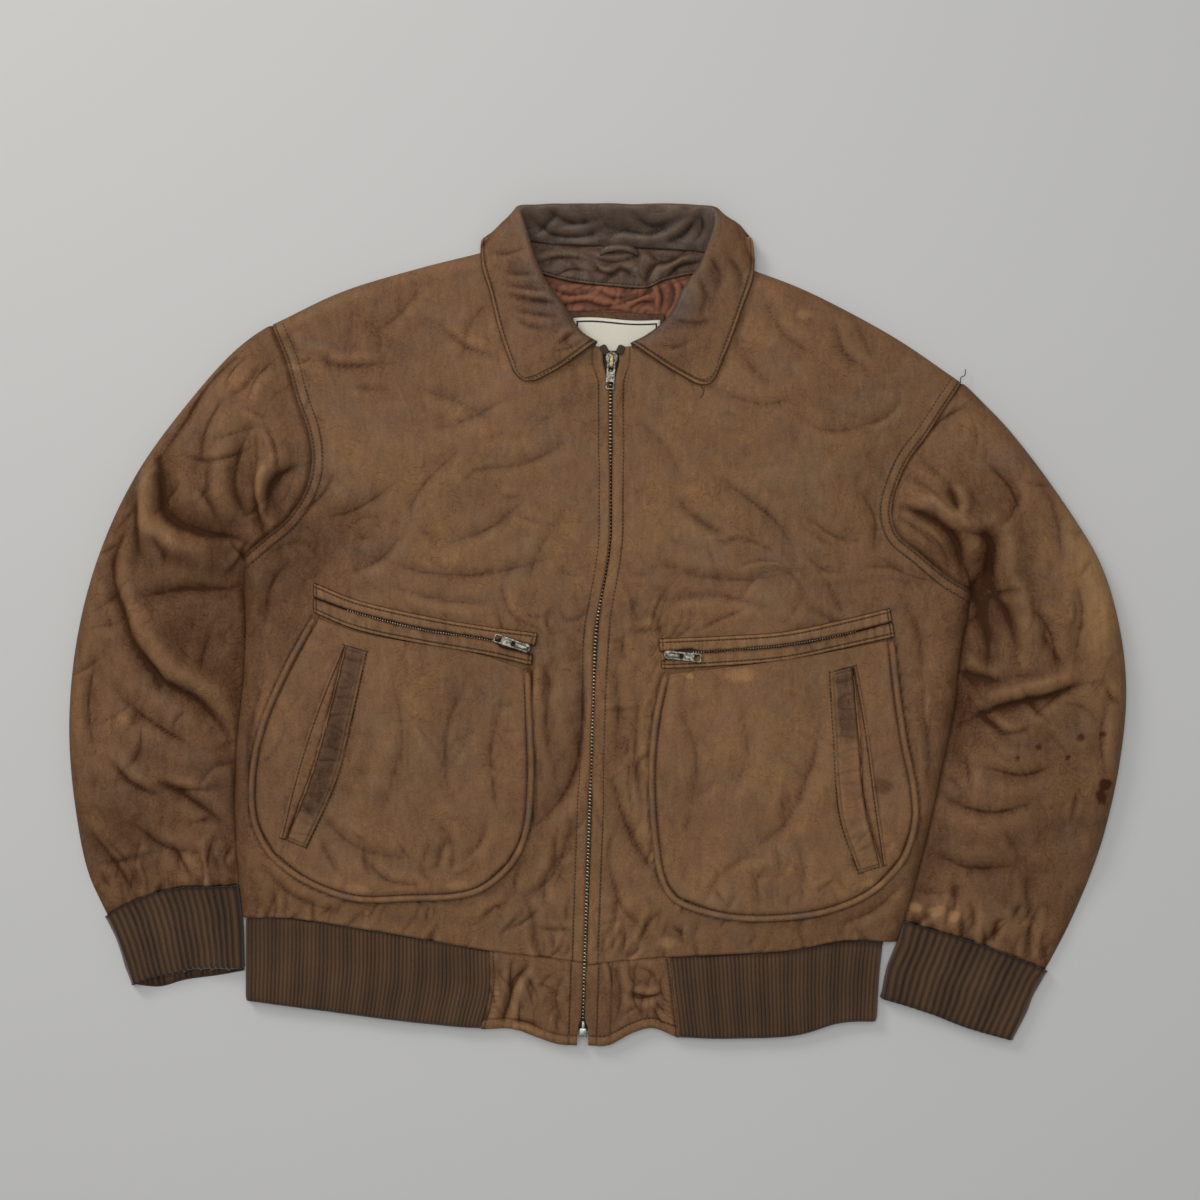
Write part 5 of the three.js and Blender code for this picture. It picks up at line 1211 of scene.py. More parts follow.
def neckLabel():
    # a woven label, blank, with one woven border line
    (x0, y0), (x1, y1) = label["low"], label["high"]
    inset, border = label["inset"], label["border"]
    xs = np.concatenate([[x0, x0 + inset, x0 + inset + border], np.linspace(x0 + 8, x1 - 8, 16),
                         [x1 - inset - border, x1 - inset, x1]])
    ys = np.concatenate([[y0, y0 + inset, y0 + inset + border], np.linspace(y0 + 7, y1 - 7, 12),
                         [y1 - inset - border, y1 - inset, y1]])
    x, y = np.meshgrid(xs, ys)
    z = 7.2 + 0.5 * cloudNoise(x, y, 22, 44) + 0.6 * np.sin((x - x0) / 24)
    y = y + 0.9 * np.sin((x - x0) / 11) * smoothStep((y - 245) / 20) - 0.03 * (x - x0)
    grid = np.stack([x, y, z], -1)
    piece = newPiece("neckLabel", grid.reshape(-1, 3), gridFaces(*x.shape), labelCream)
    piece.data.materials.append(labelNavy)
    rows, columns = len(ys), len(xs)
    for face in piece.data.polygons:
        i, j = divmod(face.index, columns - 1)
        ring = min(i, j, rows - 2 - i, columns - 2 - j)
        face.material_index = 1 if ring == 1 else 0
    shell = piece.modifiers.new("thickness", "SOLIDIFY")
    shell.thickness, shell.offset = 0.6 * mm, -1
    applyModifiers(piece)
    finished(piece, "jacket", "label")


def labelStrip():
    # a strip of hide under the label's upper edge
    flat = laidGrid([(-25, 262.5), (16, 262), (57, 260.5)], [(-26, 271.5), (16, 271), (58, 269)], 60, 8)
    x, y = flat.transpose(2, 0, 1)
    toLow = gridDistances(flat, 0)
    z = 5.6 + 0.4 * cloudNoise(x, y, 14, 46) - 0.5 * bell(9 - toLow, 0.8)
    grid = np.stack([x, y, z], -1)
    shade = leatherShade(grid)
    shade["tone"] -= 0.2
    shade["worn"] = np.full(x.shape, 0.3)
    clothPiece("labelStrip", None, grid, 0.9, brownLeather, shade)


def hangerLoop():
    # a folded strip sewn in at both ends, standing a little proud of the neck seam
    path = splineThrough([(2, 322, 5.5), (7, 324, 8.2), (18, 325.5, 9.6), (29, 324, 8.6), (35, 321.5, 5.5)], 8)
    rows = []
    for side in evenly(7):
        moved = path.copy()
        moved[:, 1] += (side - 0.5) * 6
        moved[:, 2] += 1.2 * math.sin(math.pi * side) + 0.5 * side
        rows.append(moved)
    grid = np.array(rows)
    shade = leatherShade(grid)
    shade["worn"] = np.full(grid.shape[:2], 0.85)
    clothPiece("hangerLoop", "hanger_loop", grid, 1.2, brownLeather, shade)


for make in (neckFacing, neckLining, neckLabel, labelStrip, hangerLoop):
    make()
print("neck made")


knit = {"cuffPitch": 4.8, "hemPitch": 3.3, "depth": 1.2, "thickness": 1.8}


def ribAttributes(across, fade, pitch):
    # painted shade: a thin dark line between the ribs, which differ a little from each other in tone
    turn = across / pitch
    fromLine = np.abs(turn - np.round(turn))
    shade = 0.72 + 0.10 * np.sin(7.3 * np.floor(turn)) - 0.62 * bell(fromLine, 0.17)
    return {"ribAcross": across * mm, "ribFade": fade, "fold": shade * fade}


def makeCuff(wearer):
    o, sign = lines[wearer], signs[wearer]
    rows = 34
    ts = evenly(rows)
    vs = edgeShares(100, 0.9, 4.5, 4.5)
    topEnd = o["cuffEnd"]
    if wearer == "right":
        topEnd = splineThrough([(-402, -311), (-386, -304), (-368, -300), (-346, -295), (-306, -293)])
    patches = []
    for end in (topEnd, o["cuffEnd"]):
        end = pointsAlong(end, vs)
        seamLine = pointsAlong(o["cuffSeam"], vs)
        outer, inner = pointsAlong(o["cuffOuter"], ts), pointsAlong(o["cuffInner"], ts)
        outer[-1], inner[-1] = end[0], end[-1]
        inner = inner + evenly(rows)[:, None] * (end[-1] - inner[-1])
        patches.append(coons(outer, inner, seamLine, end, ts, vs))
    top, under = patches
    x, y = top[..., 0], top[..., 1]
    edges = np.minimum(distanceTo(o["cuffOuter"], x, y), distanceTo(o["cuffInner"], x, y))
    down = np.repeat(ts[:, None], len(vs), 1)
    z = heights["cuff"] * roundOver(edges, reach["cuff"]) * (1 - 0.12 * smoothStep((down - 0.9) / 0.1))
    z = z + (1.0 * cloudNoise(x, y, 30, 15) + 1.2 * bell(down, 0.12)) * smoothStep(edges / 12)
    z = z - 1.2 * bell(down, 0.035) * smoothStep(edges / 6)
    topGrid = np.stack([x, y, np.maximum(z, 0.5)], -1)
    keep = np.unique(np.linspace(2, len(vs) - 3, 50).astype(int))[::-1]
    underGrid = np.concatenate([under[:, keep], np.full((rows, len(keep), 1), 0.4)], -1)
    grid = np.concatenate([topGrid, underGrid], 1)
    across = np.concatenate([vs * 98, 98 + (1 - vs[keep]) * 98])
    across = np.repeat(across[None], rows, 0) + 0.5 * cloudNoise(grid[..., 0], grid[..., 1], 16, 19)
    fade = np.repeat((1 - bell(ts, 0.03) - 0.6 * bell(ts - 1, 0.04))[:, None], grid.shape[1], 1)
    clothPiece("cuff", "cuff", grid, knit["thickness"], ribMaterial,
               ribAttributes(across, fade, knit["cuffPitch"]), wearer, ringFrom=0, flip=sign > 0,
               ribs={"Pitch": knit["cuffPitch"], "Depth": knit["depth"]})


def crossing(line, x):
    # the share along a line, which runs one way in x, where it passes an x
    order = np.argsort(line[:, 0])
    return float(np.interp(x, line[order, 0], evenly(len(line))[order]))


def makeHemBand():
    rows = 36
    ts = evenly(rows)
    halves = {}
    for wearer in lines:
        o, sign = lines[wearer], signs[wearer]
        shape = outlines[wearer]
        hem = o["hem"]
        first, last = crossing(hem, shape["tabSeam"][0][0]), crossing(hem, shape["ribSide"][0][0])
        vs = edgeShares(205, 0.66, 0, 4.5)
        seamLine = pointsAlong(pointsAlong(hem, np.linspace(first, last, 80)), vs)
        seamLine[:, 1] -= 0.2
        endLine = pointsAlong(o["ribEnd"], vs)
        tabEdge, sideEdge = pointsAlong(o["tabSeam"], ts) + (sign * 0.3, 0), pointsAlong(o["ribSide"], ts)
        seamLine[0], endLine[0], sideEdge[0], sideEdge[-1] = tabEdge[0], tabEdge[-1], seamLine[-1], endLine[-1]
        flat = coons(tabEdge, sideEdge, seamLine, endLine, ts, vs)
        x, y = flat.transpose(2, 0, 1)
        toSide = distanceTo(o["ribSide"], x, y)
        down = np.repeat(ts[:, None], len(vs), 1)
        z = heights["hem"] * roundOver(toSide, reach["hem"])
        soft = smoothStep(toSide / 14)
        z = z + (1.1 * cloudNoise(x, y, 46, 25) + 0.5 * cloudNoise(x, y, 18, 26)) * soft
        z = z - 1.3 * bell(down, 0.03) * soft - 0.9 * bell(down - 1, 0.03) * soft
        halves[wearer] = (np.stack([x, y, np.maximum(z, 0.5)], -1), vs * lineLength(endLine))
    right, left = halves["right"], halves["left"]
    t = evenly(152)[1:-1]
    underX = right[0][:, -1, :1] * (1 - t) + left[0][:, -1, :1] * t
    atSeam = backHemY(underX) - 0.9
    under = np.stack([underX, atSeam - 68 * ts[:, None], np.full(underX.shape, 0.4)], -1)
    grid = np.concatenate([right[0], under, left[0][:, ::-1]], 1)
    start = right[1][-1]
    across = np.concatenate([right[1], start + t * 550, start + 550 + left[1][-1] - left[1][::-1]])
    across = np.repeat(across[None], rows, 0) + 0.35 * cloudNoise(grid[..., 0], grid[..., 1], 18, 29)
    fade = np.repeat((1 - 0.9 * bell(ts, 0.025) - 0.7 * bell(ts - 1, 0.03))[:, None], grid.shape[1], 1)
    fade[:, len(right[1]):-len(left[1])] = 0.1
    clothPiece("hemBand", "hem_band", grid, knit["thickness"], ribMaterial,
               ribAttributes(across, fade, knit["hemPitch"]),
               ribs={"Pitch": knit["hemPitch"], "Depth": knit["depth"] * 0.7})


for wearer in lines:
    makeCuff(wearer)
makeHemBand()
print("cuffs and hem band made")


tabCreases = [
    (4, 1.0, 0.6, -30, -300, -36, -322, -30, -340), (5, 1.3, -0.6, -86, -296, -74, -318, -82, -340),
    (4, 1.0, 0.5, -64, -296, -56, -312, -60, -330), (3.4, 1.6, 0.8, 50, -318, 38, -322, 28, -318),
    (4, 1.1, -0.6, 34, -300, 30, -320, 40, -338), (4, 0.9, 0.5, 16, -296, 20, -320, 14, -344),
    (3, 0.9, 0.6, 56, -298, 54, -312, 60, -326), (3.4, 2.4, 0.7, -60, -292, -72, -312, -82, -346),
    (2.6, 1.6, -0.6, -74, -288, -76, -306, -74, -320), (3, 1.8, 0.7, 48, -330, 54, -340, 60, -348),
    (2.6, 2.2, 0.7, 30, -316, 44, -319, 56, -316), (3, 1.6, 0.6, -46, -350, -60, -342, -80, -342),
]
tabCreases += scatteredCreases(61, 16, (-96, -350, -22, -292), 75, 30, (10, 34), (1.6, 3.4), (0.5, 1.4))
tabCreases += scatteredCreases(62, 14, (0, -350, 64, -292), 95, 30, (10, 34), (1.6, 3.4), (0.5, 1.4))


def hemTab(wearer):
    # the leather end of the hem: a seam at its top, a rolled and stitched lower edge
    o, sign, shape = lines[wearer], signs[wearer], outlines[wearer]
    us = edgeShares(72, 1.5, 0, 4.0)
    vs = edgeShares(85, 1.5, 3.0, 0)
    share = crossing(o["hem"], shape["tabSeam"][0][0])
    topLine = pointsAlong(pointsAlong(o["hem"], np.linspace(0, share, 60)), vs) - (0, 0.3)
    endLine = pointsAlong(o["tabEnd"], vs)
    outer = pointsAlong(o["tabSeam"], us) - (sign * 0.3, 0)
    innerY = topLine[0, 1] + (endLine[0, 1] - topLine[0, 1]) * us
    inner = besideZip(innerY, sign, 0.9 + 2.4 * smoothStep((-334 - innerY) / 20))
    topLine[0], endLine[0], topLine[-1], endLine[-1] = inner[0], inner[-1], outer[0], outer[-1]
    flat = coons(inner, outer, topLine, endLine, us, vs)
    x, y = flat.transpose(2, 0, 1)
    toTop, toEnd = gridDistances(flat, 0), gridDistances(flat, 0, True)
    toZip = np.abs(x - zipX(y)) - zipGap(y)
    toSeam = gridDistances(flat, 1, True)
    relief = creaseHeight(x, y, tabCreases) + softSwell(x, y, 33, 1.0) + lined(x, y, 34, 0.4)
    z = bodyHeight(x, y) + relief
    z = z - 1.4 * bell(toTop, 1.6) + 0.8 * bell(toEnd - 3.4, 2.6) - 1.0 * bell(toEnd - 7.6, 1.3)
    z = z - 3.6 * (1 - roundOver(toEnd, 3.4)) - 1.6 * (1 - smoothStep(toZip / 2.2)) - 1.4 * bell(toSeam, 1.4)
    z = z - 0.7 * bell(toZip - 10, 1.3)
    grid = np.stack([x, y, z], -1)
    shade = leatherShade(grid, [np.minimum(np.abs(toEnd - 7.4), np.abs(toZip - 10.5)),
                                np.minimum(np.abs(toSeam - 3.2), np.abs(toZip - 22) if sign > 0 else 99)],
                         strength=0.6, relief=relief)
    # the seam's allowance shows through as a row of pale rubs
    rubs = bell(toSeam - 6.5, 2.2) * smoothStep(np.sin(toEnd * 1.25) * 1.6 - 0.2) * smoothStep((50 - toEnd) / 20)
    shade["tone"] = shade["tone"] - 0.05 + 0.10 * bell(toEnd - 3, 2.4) + 0.22 * rubs
    creaseShadow = creaseShadowLines(x, y, tabCreases, 0.8) * smoothStep((toEnd - 8) / 3)
    # painted shade in the sunken seams along the top and the outer side
    seamShadow = 0.25 * bell(toTop, 1.5) + 0.25 * bell(toSeam, 1.2)
    shade["fold"] = np.clip(shade["fold"] - seamShadow - 0.6 * creaseShadow, -0.8, 0.6)
    clothPiece("hemTab", "hem_tab", grid, 1.8, brownLeather, shade, wearer, flip=sign < 0)


for wearer in lines:
    hemTab(wearer)
print("hem tabs made")


pocket = {"inset": 2.9, "pipingRadius": 2.75, "panelLift": 1.9, "weltLift": 2.6, "handLift": 3.1}


def pocketSurface(x, y, wearer):
    # the panel is pressed down along its piping and under the welts
    toRim, toWelt = distanceTo(pocketRim(wearer), x, y), distanceTo(lines[wearer]["weltBottom"], x, y)
    inward = smoothStep(np.minimum(toRim - 2, toWelt - 2) / 10)
    move = creaseHeight(x, y, pocketCreases[wearer]) + softSwell(x, y, 43, 1.1) + lined(x, y, 81, 0.3)
    relief = np.maximum(move, -2.2) * (0.15 + 0.85 * inward)
    return bodyHeight(x, y) + pocket["panelLift"] + relief - 1.1 * bell(toRim - 3.2, 1.8), relief, toRim, toWelt


def pocketPanel(wearer):
    o, sign = lines[wearer], signs[wearer]
    inset = pocket["inset"]
    side = movedSideways(o["pocketSide"], -sign * inset)
    end = movedSideways(o["pocketEnd"], -sign * inset)
    inner = movedSideways(o["pocketInner"], sign * inset)
    top = movedSideways(o["pocketTop"], sign * -3.0)
    us, vs = edgeShares(200, fineStep, 2, 2), edgeShares(190, fineStep, 2, 2)
    corners = {"topOuter": (side[0] + top[0]) / 2, "topInner": (inner[0] + top[-1]) / 2,
               "endOuter": (side[-1] + end[0]) / 2, "endInner": (inner[-1] + end[-1]) / 2}

    def pinned(line, start, finish, shares):
        line = pointsAlong(line, shares)
        t = evenly(len(line))[:, None]
        return line + (start - line[0]) * (1 - t) + (finish - line[-1]) * t

    flat = coons(pinned(inner[::-1], corners["endInner"], corners["topInner"], us),
                 pinned(side[::-1], corners["endOuter"], corners["topOuter"], us),
                 pinned(end[::-1], corners["endInner"], corners["endOuter"], vs),
                 pinned(top[::-1], corners["topInner"], corners["topOuter"], vs), us, vs)
    x, y = flat.transpose(2, 0, 1)
    z, relief, toRim, toWelt = pocketSurface(x, y, wearer)
    toHand = np.minimum(*[distanceTo(splineThrough(outlines[wearer][key]), x, y)
                          for key in ("handOuter", "handInner")])
    z = z - 0.5 * bell(toHand, 2)
    grid = np.stack([x, y, z], -1)
    shade = leatherShade(grid, relief=relief)
    creaseShadow = creaseShadowLines(x, y, pocketCreases[wearer]) * smoothStep((toRim - 3) / 6)
    # painted shadow in the creases, beside the piping, along the lower edge of the zip's welts and beside the hand
    # welts
    shade["fold"] = np.clip(shade["fold"] - 0.52 * creaseShadow - 0.75 * bell(toRim - 3.3, 1.0) - 0.16 * bell(toWelt, 2.5)
                            - 0.2 * bell(toHand - 0.5, 1.2), -0.8, 0.6)
    shade["tone"] = shade["tone"] + 0.04 * bell(toRim - 9, 5) + 0.02
    clothPiece("pocketPanel", "pocket", grid, cloth["patch"], brownLeather, shade, wearer, flip=sign > 0)


def pipingPath(wearer):
    shape = outlines[wearer]
    return smoothLine(shape["pocketSide"] + shape["pocketEnd"][1:] + shape["pocketInner"][::-1][1:], 330)


def piping(wearer):
    # a cord covered with hide round the pocket's edge
    path = pipingPath(wearer)
    along = np.linspace(0, lineLength(path), len(path))
    wave = cloudNoise(along, along * 0, 22, 51)
    x, y = path[:, 0], path[:, 1]
    base = bodyHeight(x, y) + 1.0 + 0.35 * cloudNoise(x, y, 30, 52)
    radius = pocket["pipingRadius"] * (1 + 0.07 * wave)
    ends = smoothStep(np.minimum(along, along[-1] - along) / 5)
    columns, rows = 14, len(path)
    grid = []
    for angle in 2 * math.pi * np.arange(columns) / columns:
        across = radius * math.cos(angle) * (0.6 + 0.4 * ends)
        up = radius * math.sin(angle) * (0.5 + 0.5 * ends) * 0.92
        grid.append(np.column_stack([movedSideways(path, across), base + up + 0.4]))
    grid = np.array(grid).transpose(1, 0, 2)
    caps = [list(range(columns)), list(range((rows - 1) * columns, rows * columns))[::-1]]
    # painted light: the top of the cord paler and its underside darker
    upward = np.sin(2 * math.pi * np.arange(columns) / columns)[None] + 0 * grid[..., 0]
    shade = {"fold": np.clip(0.22 * upward - 0.12, -0.6, 0.3), "tone": toneAt(grid[..., 0], grid[..., 1]) + 0.03
             + 0.05 * wave[:, None], "seamA": 99 + 0 * upward, "seamB": 99 + 0 * upward,
             "worn": 0.5 * smoothStep(wave[:, None] * 2) + 0 * upward}
    piece = newPiece(f"pocketPiping{wearer.title()}", grid.reshape(-1, 3),
                     gridFaces(rows, columns, 0, True) + caps, brownLeather, shade)
    finished(piece, "jacket", f"pocket_piping_{wearer}")


def raisedStrip(name, wearer, low, high, lift, roundLow, roundHigh, seamShadow, seed, wrinkle, worn=0.0, tone=0.0):
    # a strip between two lines, lying on the panel; its long edges are rolled down over "round" millimetres
    flat = laidGrid(low, high, int(lineLength(low) / 1.3), 18)
    x, y = flat.transpose(2, 0, 1)
    fromLow, fromHigh = gridDistances(flat, 0), gridDistances(flat, 0, True)
    along = gridDistances(flat, 1)
    fromEnds = np.minimum(along, gridDistances(flat, 1, True))
    drop = lift * 0.75
    z = bodyHeight(x, y) + lift - drop * (2 - roundOver(fromLow, roundLow) - roundOver(fromHigh, roundHigh))
    z = z - drop * 0.8 * (1 - roundOver(fromEnds, 1.2))
    z = z + wrinkle * (crumple(along, fromLow * 0.45, 13, seed) + 0.8 * cloudNoise(along, fromLow * 0.4, 9, seed + 3))
    distances = {"low": fromLow, "high": fromHigh, "ends": fromEnds}
    seamAt = np.full(x.shape, 99.0)
    for side, inset in seamShadow:
        seamAt = np.minimum(seamAt, np.abs(distances[side] - inset))
    z = z - 0.45 * bell(seamAt, 0.9)
    grid = np.stack([x, y, z], -1)
    shade = leatherShade(grid, [seamAt], strength=0.45 if worn else 0.8, tone=tone)
    # painted shadow: dark along the free edge at the opening, and a little along the sewn edges
    for side in ("low", "high"):
        free = side not in dict(seamShadow)
        shade["fold"] -= (0.95 if free else 0.35) * bell(distances[side], 1.5 if free else 0.8)
    shade["fold"] = np.clip(shade["fold"], -0.9, 0.6)
    shade["worn"] = np.zeros(x.shape)
    if worn:
        # handling has blackened the strip beside its lower line, as far as this share of its length
        place, lean = along / along.max(), fromLow / (fromLow + fromHigh + 1e-6)
        handled = (1 - smoothStep((place - worn) / 0.08)) * (1 - smoothStep((lean - 0.72) / 0.2))
        shade["worn"], shade["tone"] = 0.3 * handled, shade["tone"] - 0.22 * handled
    words = "".join("_" + c.lower() if c.isupper() else c for c in name)
    clothPiece(name, words, grid, cloth["patch"], brownLeather, shade, wearer,
               flip=signs[wearer] < 0)


def pocketWelts(wearer):
    o, sign = lines[wearer], signs[wearer]
    zipLine = o["weltZip"]
    share = evenly(len(zipLine))
    gap = 0.95 + 0.5 * bell(share - 0.5, 0.22) + 0.35 * cloudNoise(share * 9, share * 0, 1, 6) \
        + 3.4 * smoothStep((share - 0.82) / 0.05)
    upLine, downLine = movedSideways(zipLine, -sign * gap), movedSideways(zipLine, sign * gap)
    lift = pocket["weltLift"]
    raisedStrip("zipWeltUpper", wearer, upLine, o["weltTop"], lift, 1.3, 1.0,
                [("high", 2.4), ("ends", 2.4)], 61, 0.45, tone=0.05)
    raisedStrip("zipWeltLower", wearer, o["weltBottom"], downLine, lift, 1.0, 1.3,
                [("low", 2.4), ("ends", 2.4)], 65, 0.55)
    away = o["handInner"] - o["handSlit"]
    away /= np.linalg.norm(away, axis=1)[:, None]
    raisedStrip("handLip", wearer, o["handOuter"], o["handSlit"] - away * 0.3, pocket["handLift"] - 0.3,
                0.9, 0.8, [("low", 2.0)], 71, 0.3)
    raisedStrip("handWelt", wearer, o["handSlit"] + away * 0.9, o["handInner"],
                pocket["handLift"] + 0.6, 3.2, 0.9, [("high", 2.2), ("ends", 2.2)], 75, 0.6,
                worn=0.8 if sign < 0 else 0.3)


for wearer in lines:
    for make in (pocketPanel, piping, pocketWelts):
        make(wearer)
print("pockets made")


zips = {"toothStep": 3.1, "toothLength": 2.4, "toothWidth": 1.35, "pocketStep": 2.2, "tapeWidth": 12.5,
        "sliderBody": 2.6, "hinge": 1.15, "pullPlate": 1.3}
sliders = {
    "main": {"x": 12, "y": 229, "top": float(bodyHeight(12, 229)) + 0.4, "angle": -math.pi / 2 - 0.06},
    "pocket_right": {"x": -63, "y": -18.5, "top": float(bodyHeight(-63, -18.5)) + 3.1, "angle": math.pi - 0.33},
    "pocket_left": {"x": 62, "y": -25, "top": float(bodyHeight(62, -25)) + 3.1, "angle": -0.1},
}


def chainHeight(x, y):
    # the teeth lie deeper where the leather closes over them
    return bodyHeight(x, y) - 1.4 - 2.2 * smoothStep((y - 18) / 30) * smoothStep((150 - y) / 22) \
        + 1.1 * smoothStep((-284 - y) / 8)


def plate(name, body, replaced, outlines, thickness, bevel, material, place, lift, upright=False):
    # a flat part with round edges: the first outline is its edge and the others are windows
    curve = bpy.data.curves.new(name, "CURVE")
    curve.dimensions, curve.fill_mode = "2D", "BOTH"
    curve.extrude, curve.bevel_depth = (thickness / 2 - bevel) * mm, bevel * mm
    curve.bevel_resolution, curve.offset = 2, -bevel * mm
    for outline in outlines:
        spline = curve.splines.new("POLY")
        spline.points.add(len(outline) - 1)
        for point, (px, py) in zip(spline.points, outline):
            point.co = (px * mm, py * mm, 0, 1)
        spline.use_cyclic_u = True
    holder = placed(name + "Outline", curve)
    bpy.context.view_layer.update()
    mesh = bpy.data.meshes.new_from_object(holder.evaluated_get(bpy.context.evaluated_depsgraph_get()))
    bpy.data.objects.remove(holder)
    bpy.data.curves.remove(curve)
    mesh.name = name
    if upright:
        mesh.transform(Matrix.Rotation(math.pi / 2, 4, "X"))
    mesh.transform(Matrix.Translation((place["x"] * mm, place["y"] * mm, (place["top"] + lift) * mm))
                   @ Matrix.Rotation(place["angle"], 4, "Z"))
    mesh.materials.clear()
    mesh.materials.append(material)
    mesh.update()
    weld = bmesh.new()
    weld.from_mesh(mesh)
    bmesh.ops.remove_doubles(weld, verts=weld.verts, dist=1e-5)
    bmesh.ops.recalc_face_normals(weld, faces=weld.faces)
    weld.to_mesh(mesh)
    weld.free()
    mesh.polygons.foreach_set("use_smooth", [True] * len(mesh.polygons))
    mesh.set_sharp_from_angle(angle=math.radians(50))
    finished(placed(name, mesh), body, replaced)


def mirrored(half):
    return half + [(x, -y) for x, y in half[::-1]]


def rectangle(x0, x1, width, corner):
    w = width / 2
    return [(x0 + corner, -w), (x1 - corner, -w), (x1, corner - w), (x1, w - corner), (x1 - corner, w),
            (x0 + corner, w), (x0, w - corner), (x0, corner - w)]


def sliderParts(prefix, slider):
    # the body, the bridge that stands on it and the pull tab with its two windows
    name = prefix.replace("_r", "R").replace("_l", "L")
    wide, bridgeMetal, bridgeSlot = (1.0, brass, "zip_brass") if prefix == "main" else (0.74, nickel, "zip_nickel")
    edge = mirrored([(-5.6, -1.4), (-5.0, -3.0 * wide), (-3.8, -4.7 * wide), (-1.6, -5.5 * wide), (0.8, -5.2 * wide),
                     (3.2, -4.2), (7.6, -3.6), (8.6, -3.2)])
    plate(f"{name}Slider", "jacket", f"{prefix}_slider", [edge], zips["sliderBody"], 0.6, nickel,
          slider, -zips["sliderBody"] / 2)
    profile = [(-4.2, -0.4), (-4.0, 2.4), (-3.2, 3.1), (-1.6, 3.4), (5.8, 3.4), (7.4, 3.1), (8.2, 2.4), (8.4, -0.4),
               (7.3, -0.4), (7.2, 2.0), (6.6, 2.35), (-2.4, 2.35), (-3.0, 2.0), (-3.1, -0.4)]
    plate(f"{name}Bridge", "jacket", f"{prefix}_slider_arch", [profile], 2.9, 0.4, bridgeMetal, slider, 0,
          upright=True)
    edge = mirrored([(-0.65, -2.5), (1.2, -3.1), (6.0, -3.6), (10.0, -3.8), (14.0, -3.75), (25.4, -3.95),
                     (26.3, -3.7), (26.9, -3.0)])
    plate(f"{name}Pull", f"{prefix}_pull", f"{prefix}_pull",
          [edge, rectangle(0.65, 11.2, 4.0, 0.4)[::-1], rectangle(20.6, 25.5, 5.2, 0.5)[::-1]],
          zips["pullPlate"], 0.4, nickel, slider, zips["hinge"])


for prefix, slider in sliders.items():
    sliderParts(prefix, slider)


def toothRow(side, start, end):
    # the right row's teeth carry a painted highlight, and the left row's, oxidised and in painted shade, lie a little
    # lower between them
    ys = np.linspace(start + (zips["toothStep"] / 2 if side > 0 else 0), end, 260)
    xs = zipX(ys) + side * 0.55
    return np.stack([xs, ys, chainHeight(xs, ys) - (0.45 if side > 0 else 0)], 1)


# lit and shaded copies of the teeth: a painted highlight on the right row, oxide and painted shade on the left
for side, title, metal, replaced in ((-1, "Right", highlightedTeeth, "zip_chain"), (1, "Left", shadedTeeth, None)):
    repeated(f"mainZipTeeth{title}", replaced, [toothRow(side, -338, 222)], toothTree, metal,
             zips["toothStep"], zips["toothLength"], zips["toothWidth"], zips["toothWidth"])


def zipTape(wearer):
    sign = signs[wearer]
    ys = np.linspace(-348, 236, 120)
    middle = zipX(ys)
    low = np.stack([middle + sign * 0.25, ys], 1)
    high = np.stack([middle + sign * (0.3 + zips["tapeWidth"]), ys], 1)
    flat = laidGrid(low, high, 120, 7)
    x, y = flat.transpose(2, 0, 1)
    z = chainHeight(x, y) - 0.9 - 3.0 * smoothStep((np.abs(x - zipX(y)) - 2.5) / 6)
    clothPiece("zipTape", "zip_tape", np.stack([x, y, z], -1), 0.8, tapeMaterial, wearer=wearer,
               flip=sign > 0)


for wearer in lines:
    zipTape(wearer)

# the ends of the tapes, folded under at the neck, and the pin and its box at the hem
for wearer, (x, y, turn) in {"right": (5.6, 236.6, 0.5), "left": (19.6, 236.4, -0.45)}.items():
    place = {"x": x, "y": y, "top": float(bodyHeight(x, y)) - 0.2, "angle": turn}
    plate(f"tapeEnd{wearer.title()}", "jacket", None, [rectangle(-3.2, 3.2, 8.4, 1.6)], 2.0, 0.7,
          tapeMaterial, place, 0.4)
boxTop = float(chainHeight(zipX(-350.5), -350.5))
for name, replaced, y, lift, half, thickness, bevel in (
        ("zipPinBox", "zip_pin_box", -350.5, 0, [(-3.6, -2.4), (-2.4, -3.3), (2.6, -3.6), (3.8, -3.2)], 3.2, 0.7),
        ("zipPin", None, -344.0, 0.4, [(-3.4, -0.7), (-2.6, -1.5), (3.4, -1.5), (4.4, -1.3)], 2.4, 0.9)):
    place = {"x": float(zipX(y)), "y": y, "top": boxTop + lift, "angle": -math.pi / 2}
    plate(name, "jacket", replaced, [mirrored(half)], thickness, bevel, brightNickel, place, 0)


def pocketTeeth(wearer):
    row = movedSideways(pointsAlong(lines[wearer]["weltZip"], np.linspace(0.16, 0.86, 200)), -0.4)
    chain = np.column_stack([row, bodyHeight(row[:, 0], row[:, 1]) + 1.5])
    repeated(f"pocketTeeth{wearer.title()}", None, [chain], toothTree, highlightedTeeth, zips["pocketStep"],
             1.6, 1.0, 1.0)


def pocketTape(wearer):
    # dark tape seen in the slit between the welts
    o, sign = lines[wearer], signs[wearer]
    along = pointsAlong(o["weltZip"], np.linspace(0.01, 0.985, 90))
    flat = laidGrid(movedSideways(along, sign * 4.4), movedSideways(along, sign * -4.4), 90, 5)
    x, y = flat.transpose(2, 0, 1)
    grid = np.stack([x, y, bodyHeight(x, y) + 0.9], -1)
    clothPiece("pocketTape", None, grid, 0.6, tapeMaterial, wearer=wearer, flip=sign > 0)


for wearer in lines:
    pocketTeeth(wearer)
    pocketTape(wearer)
print("zips made")


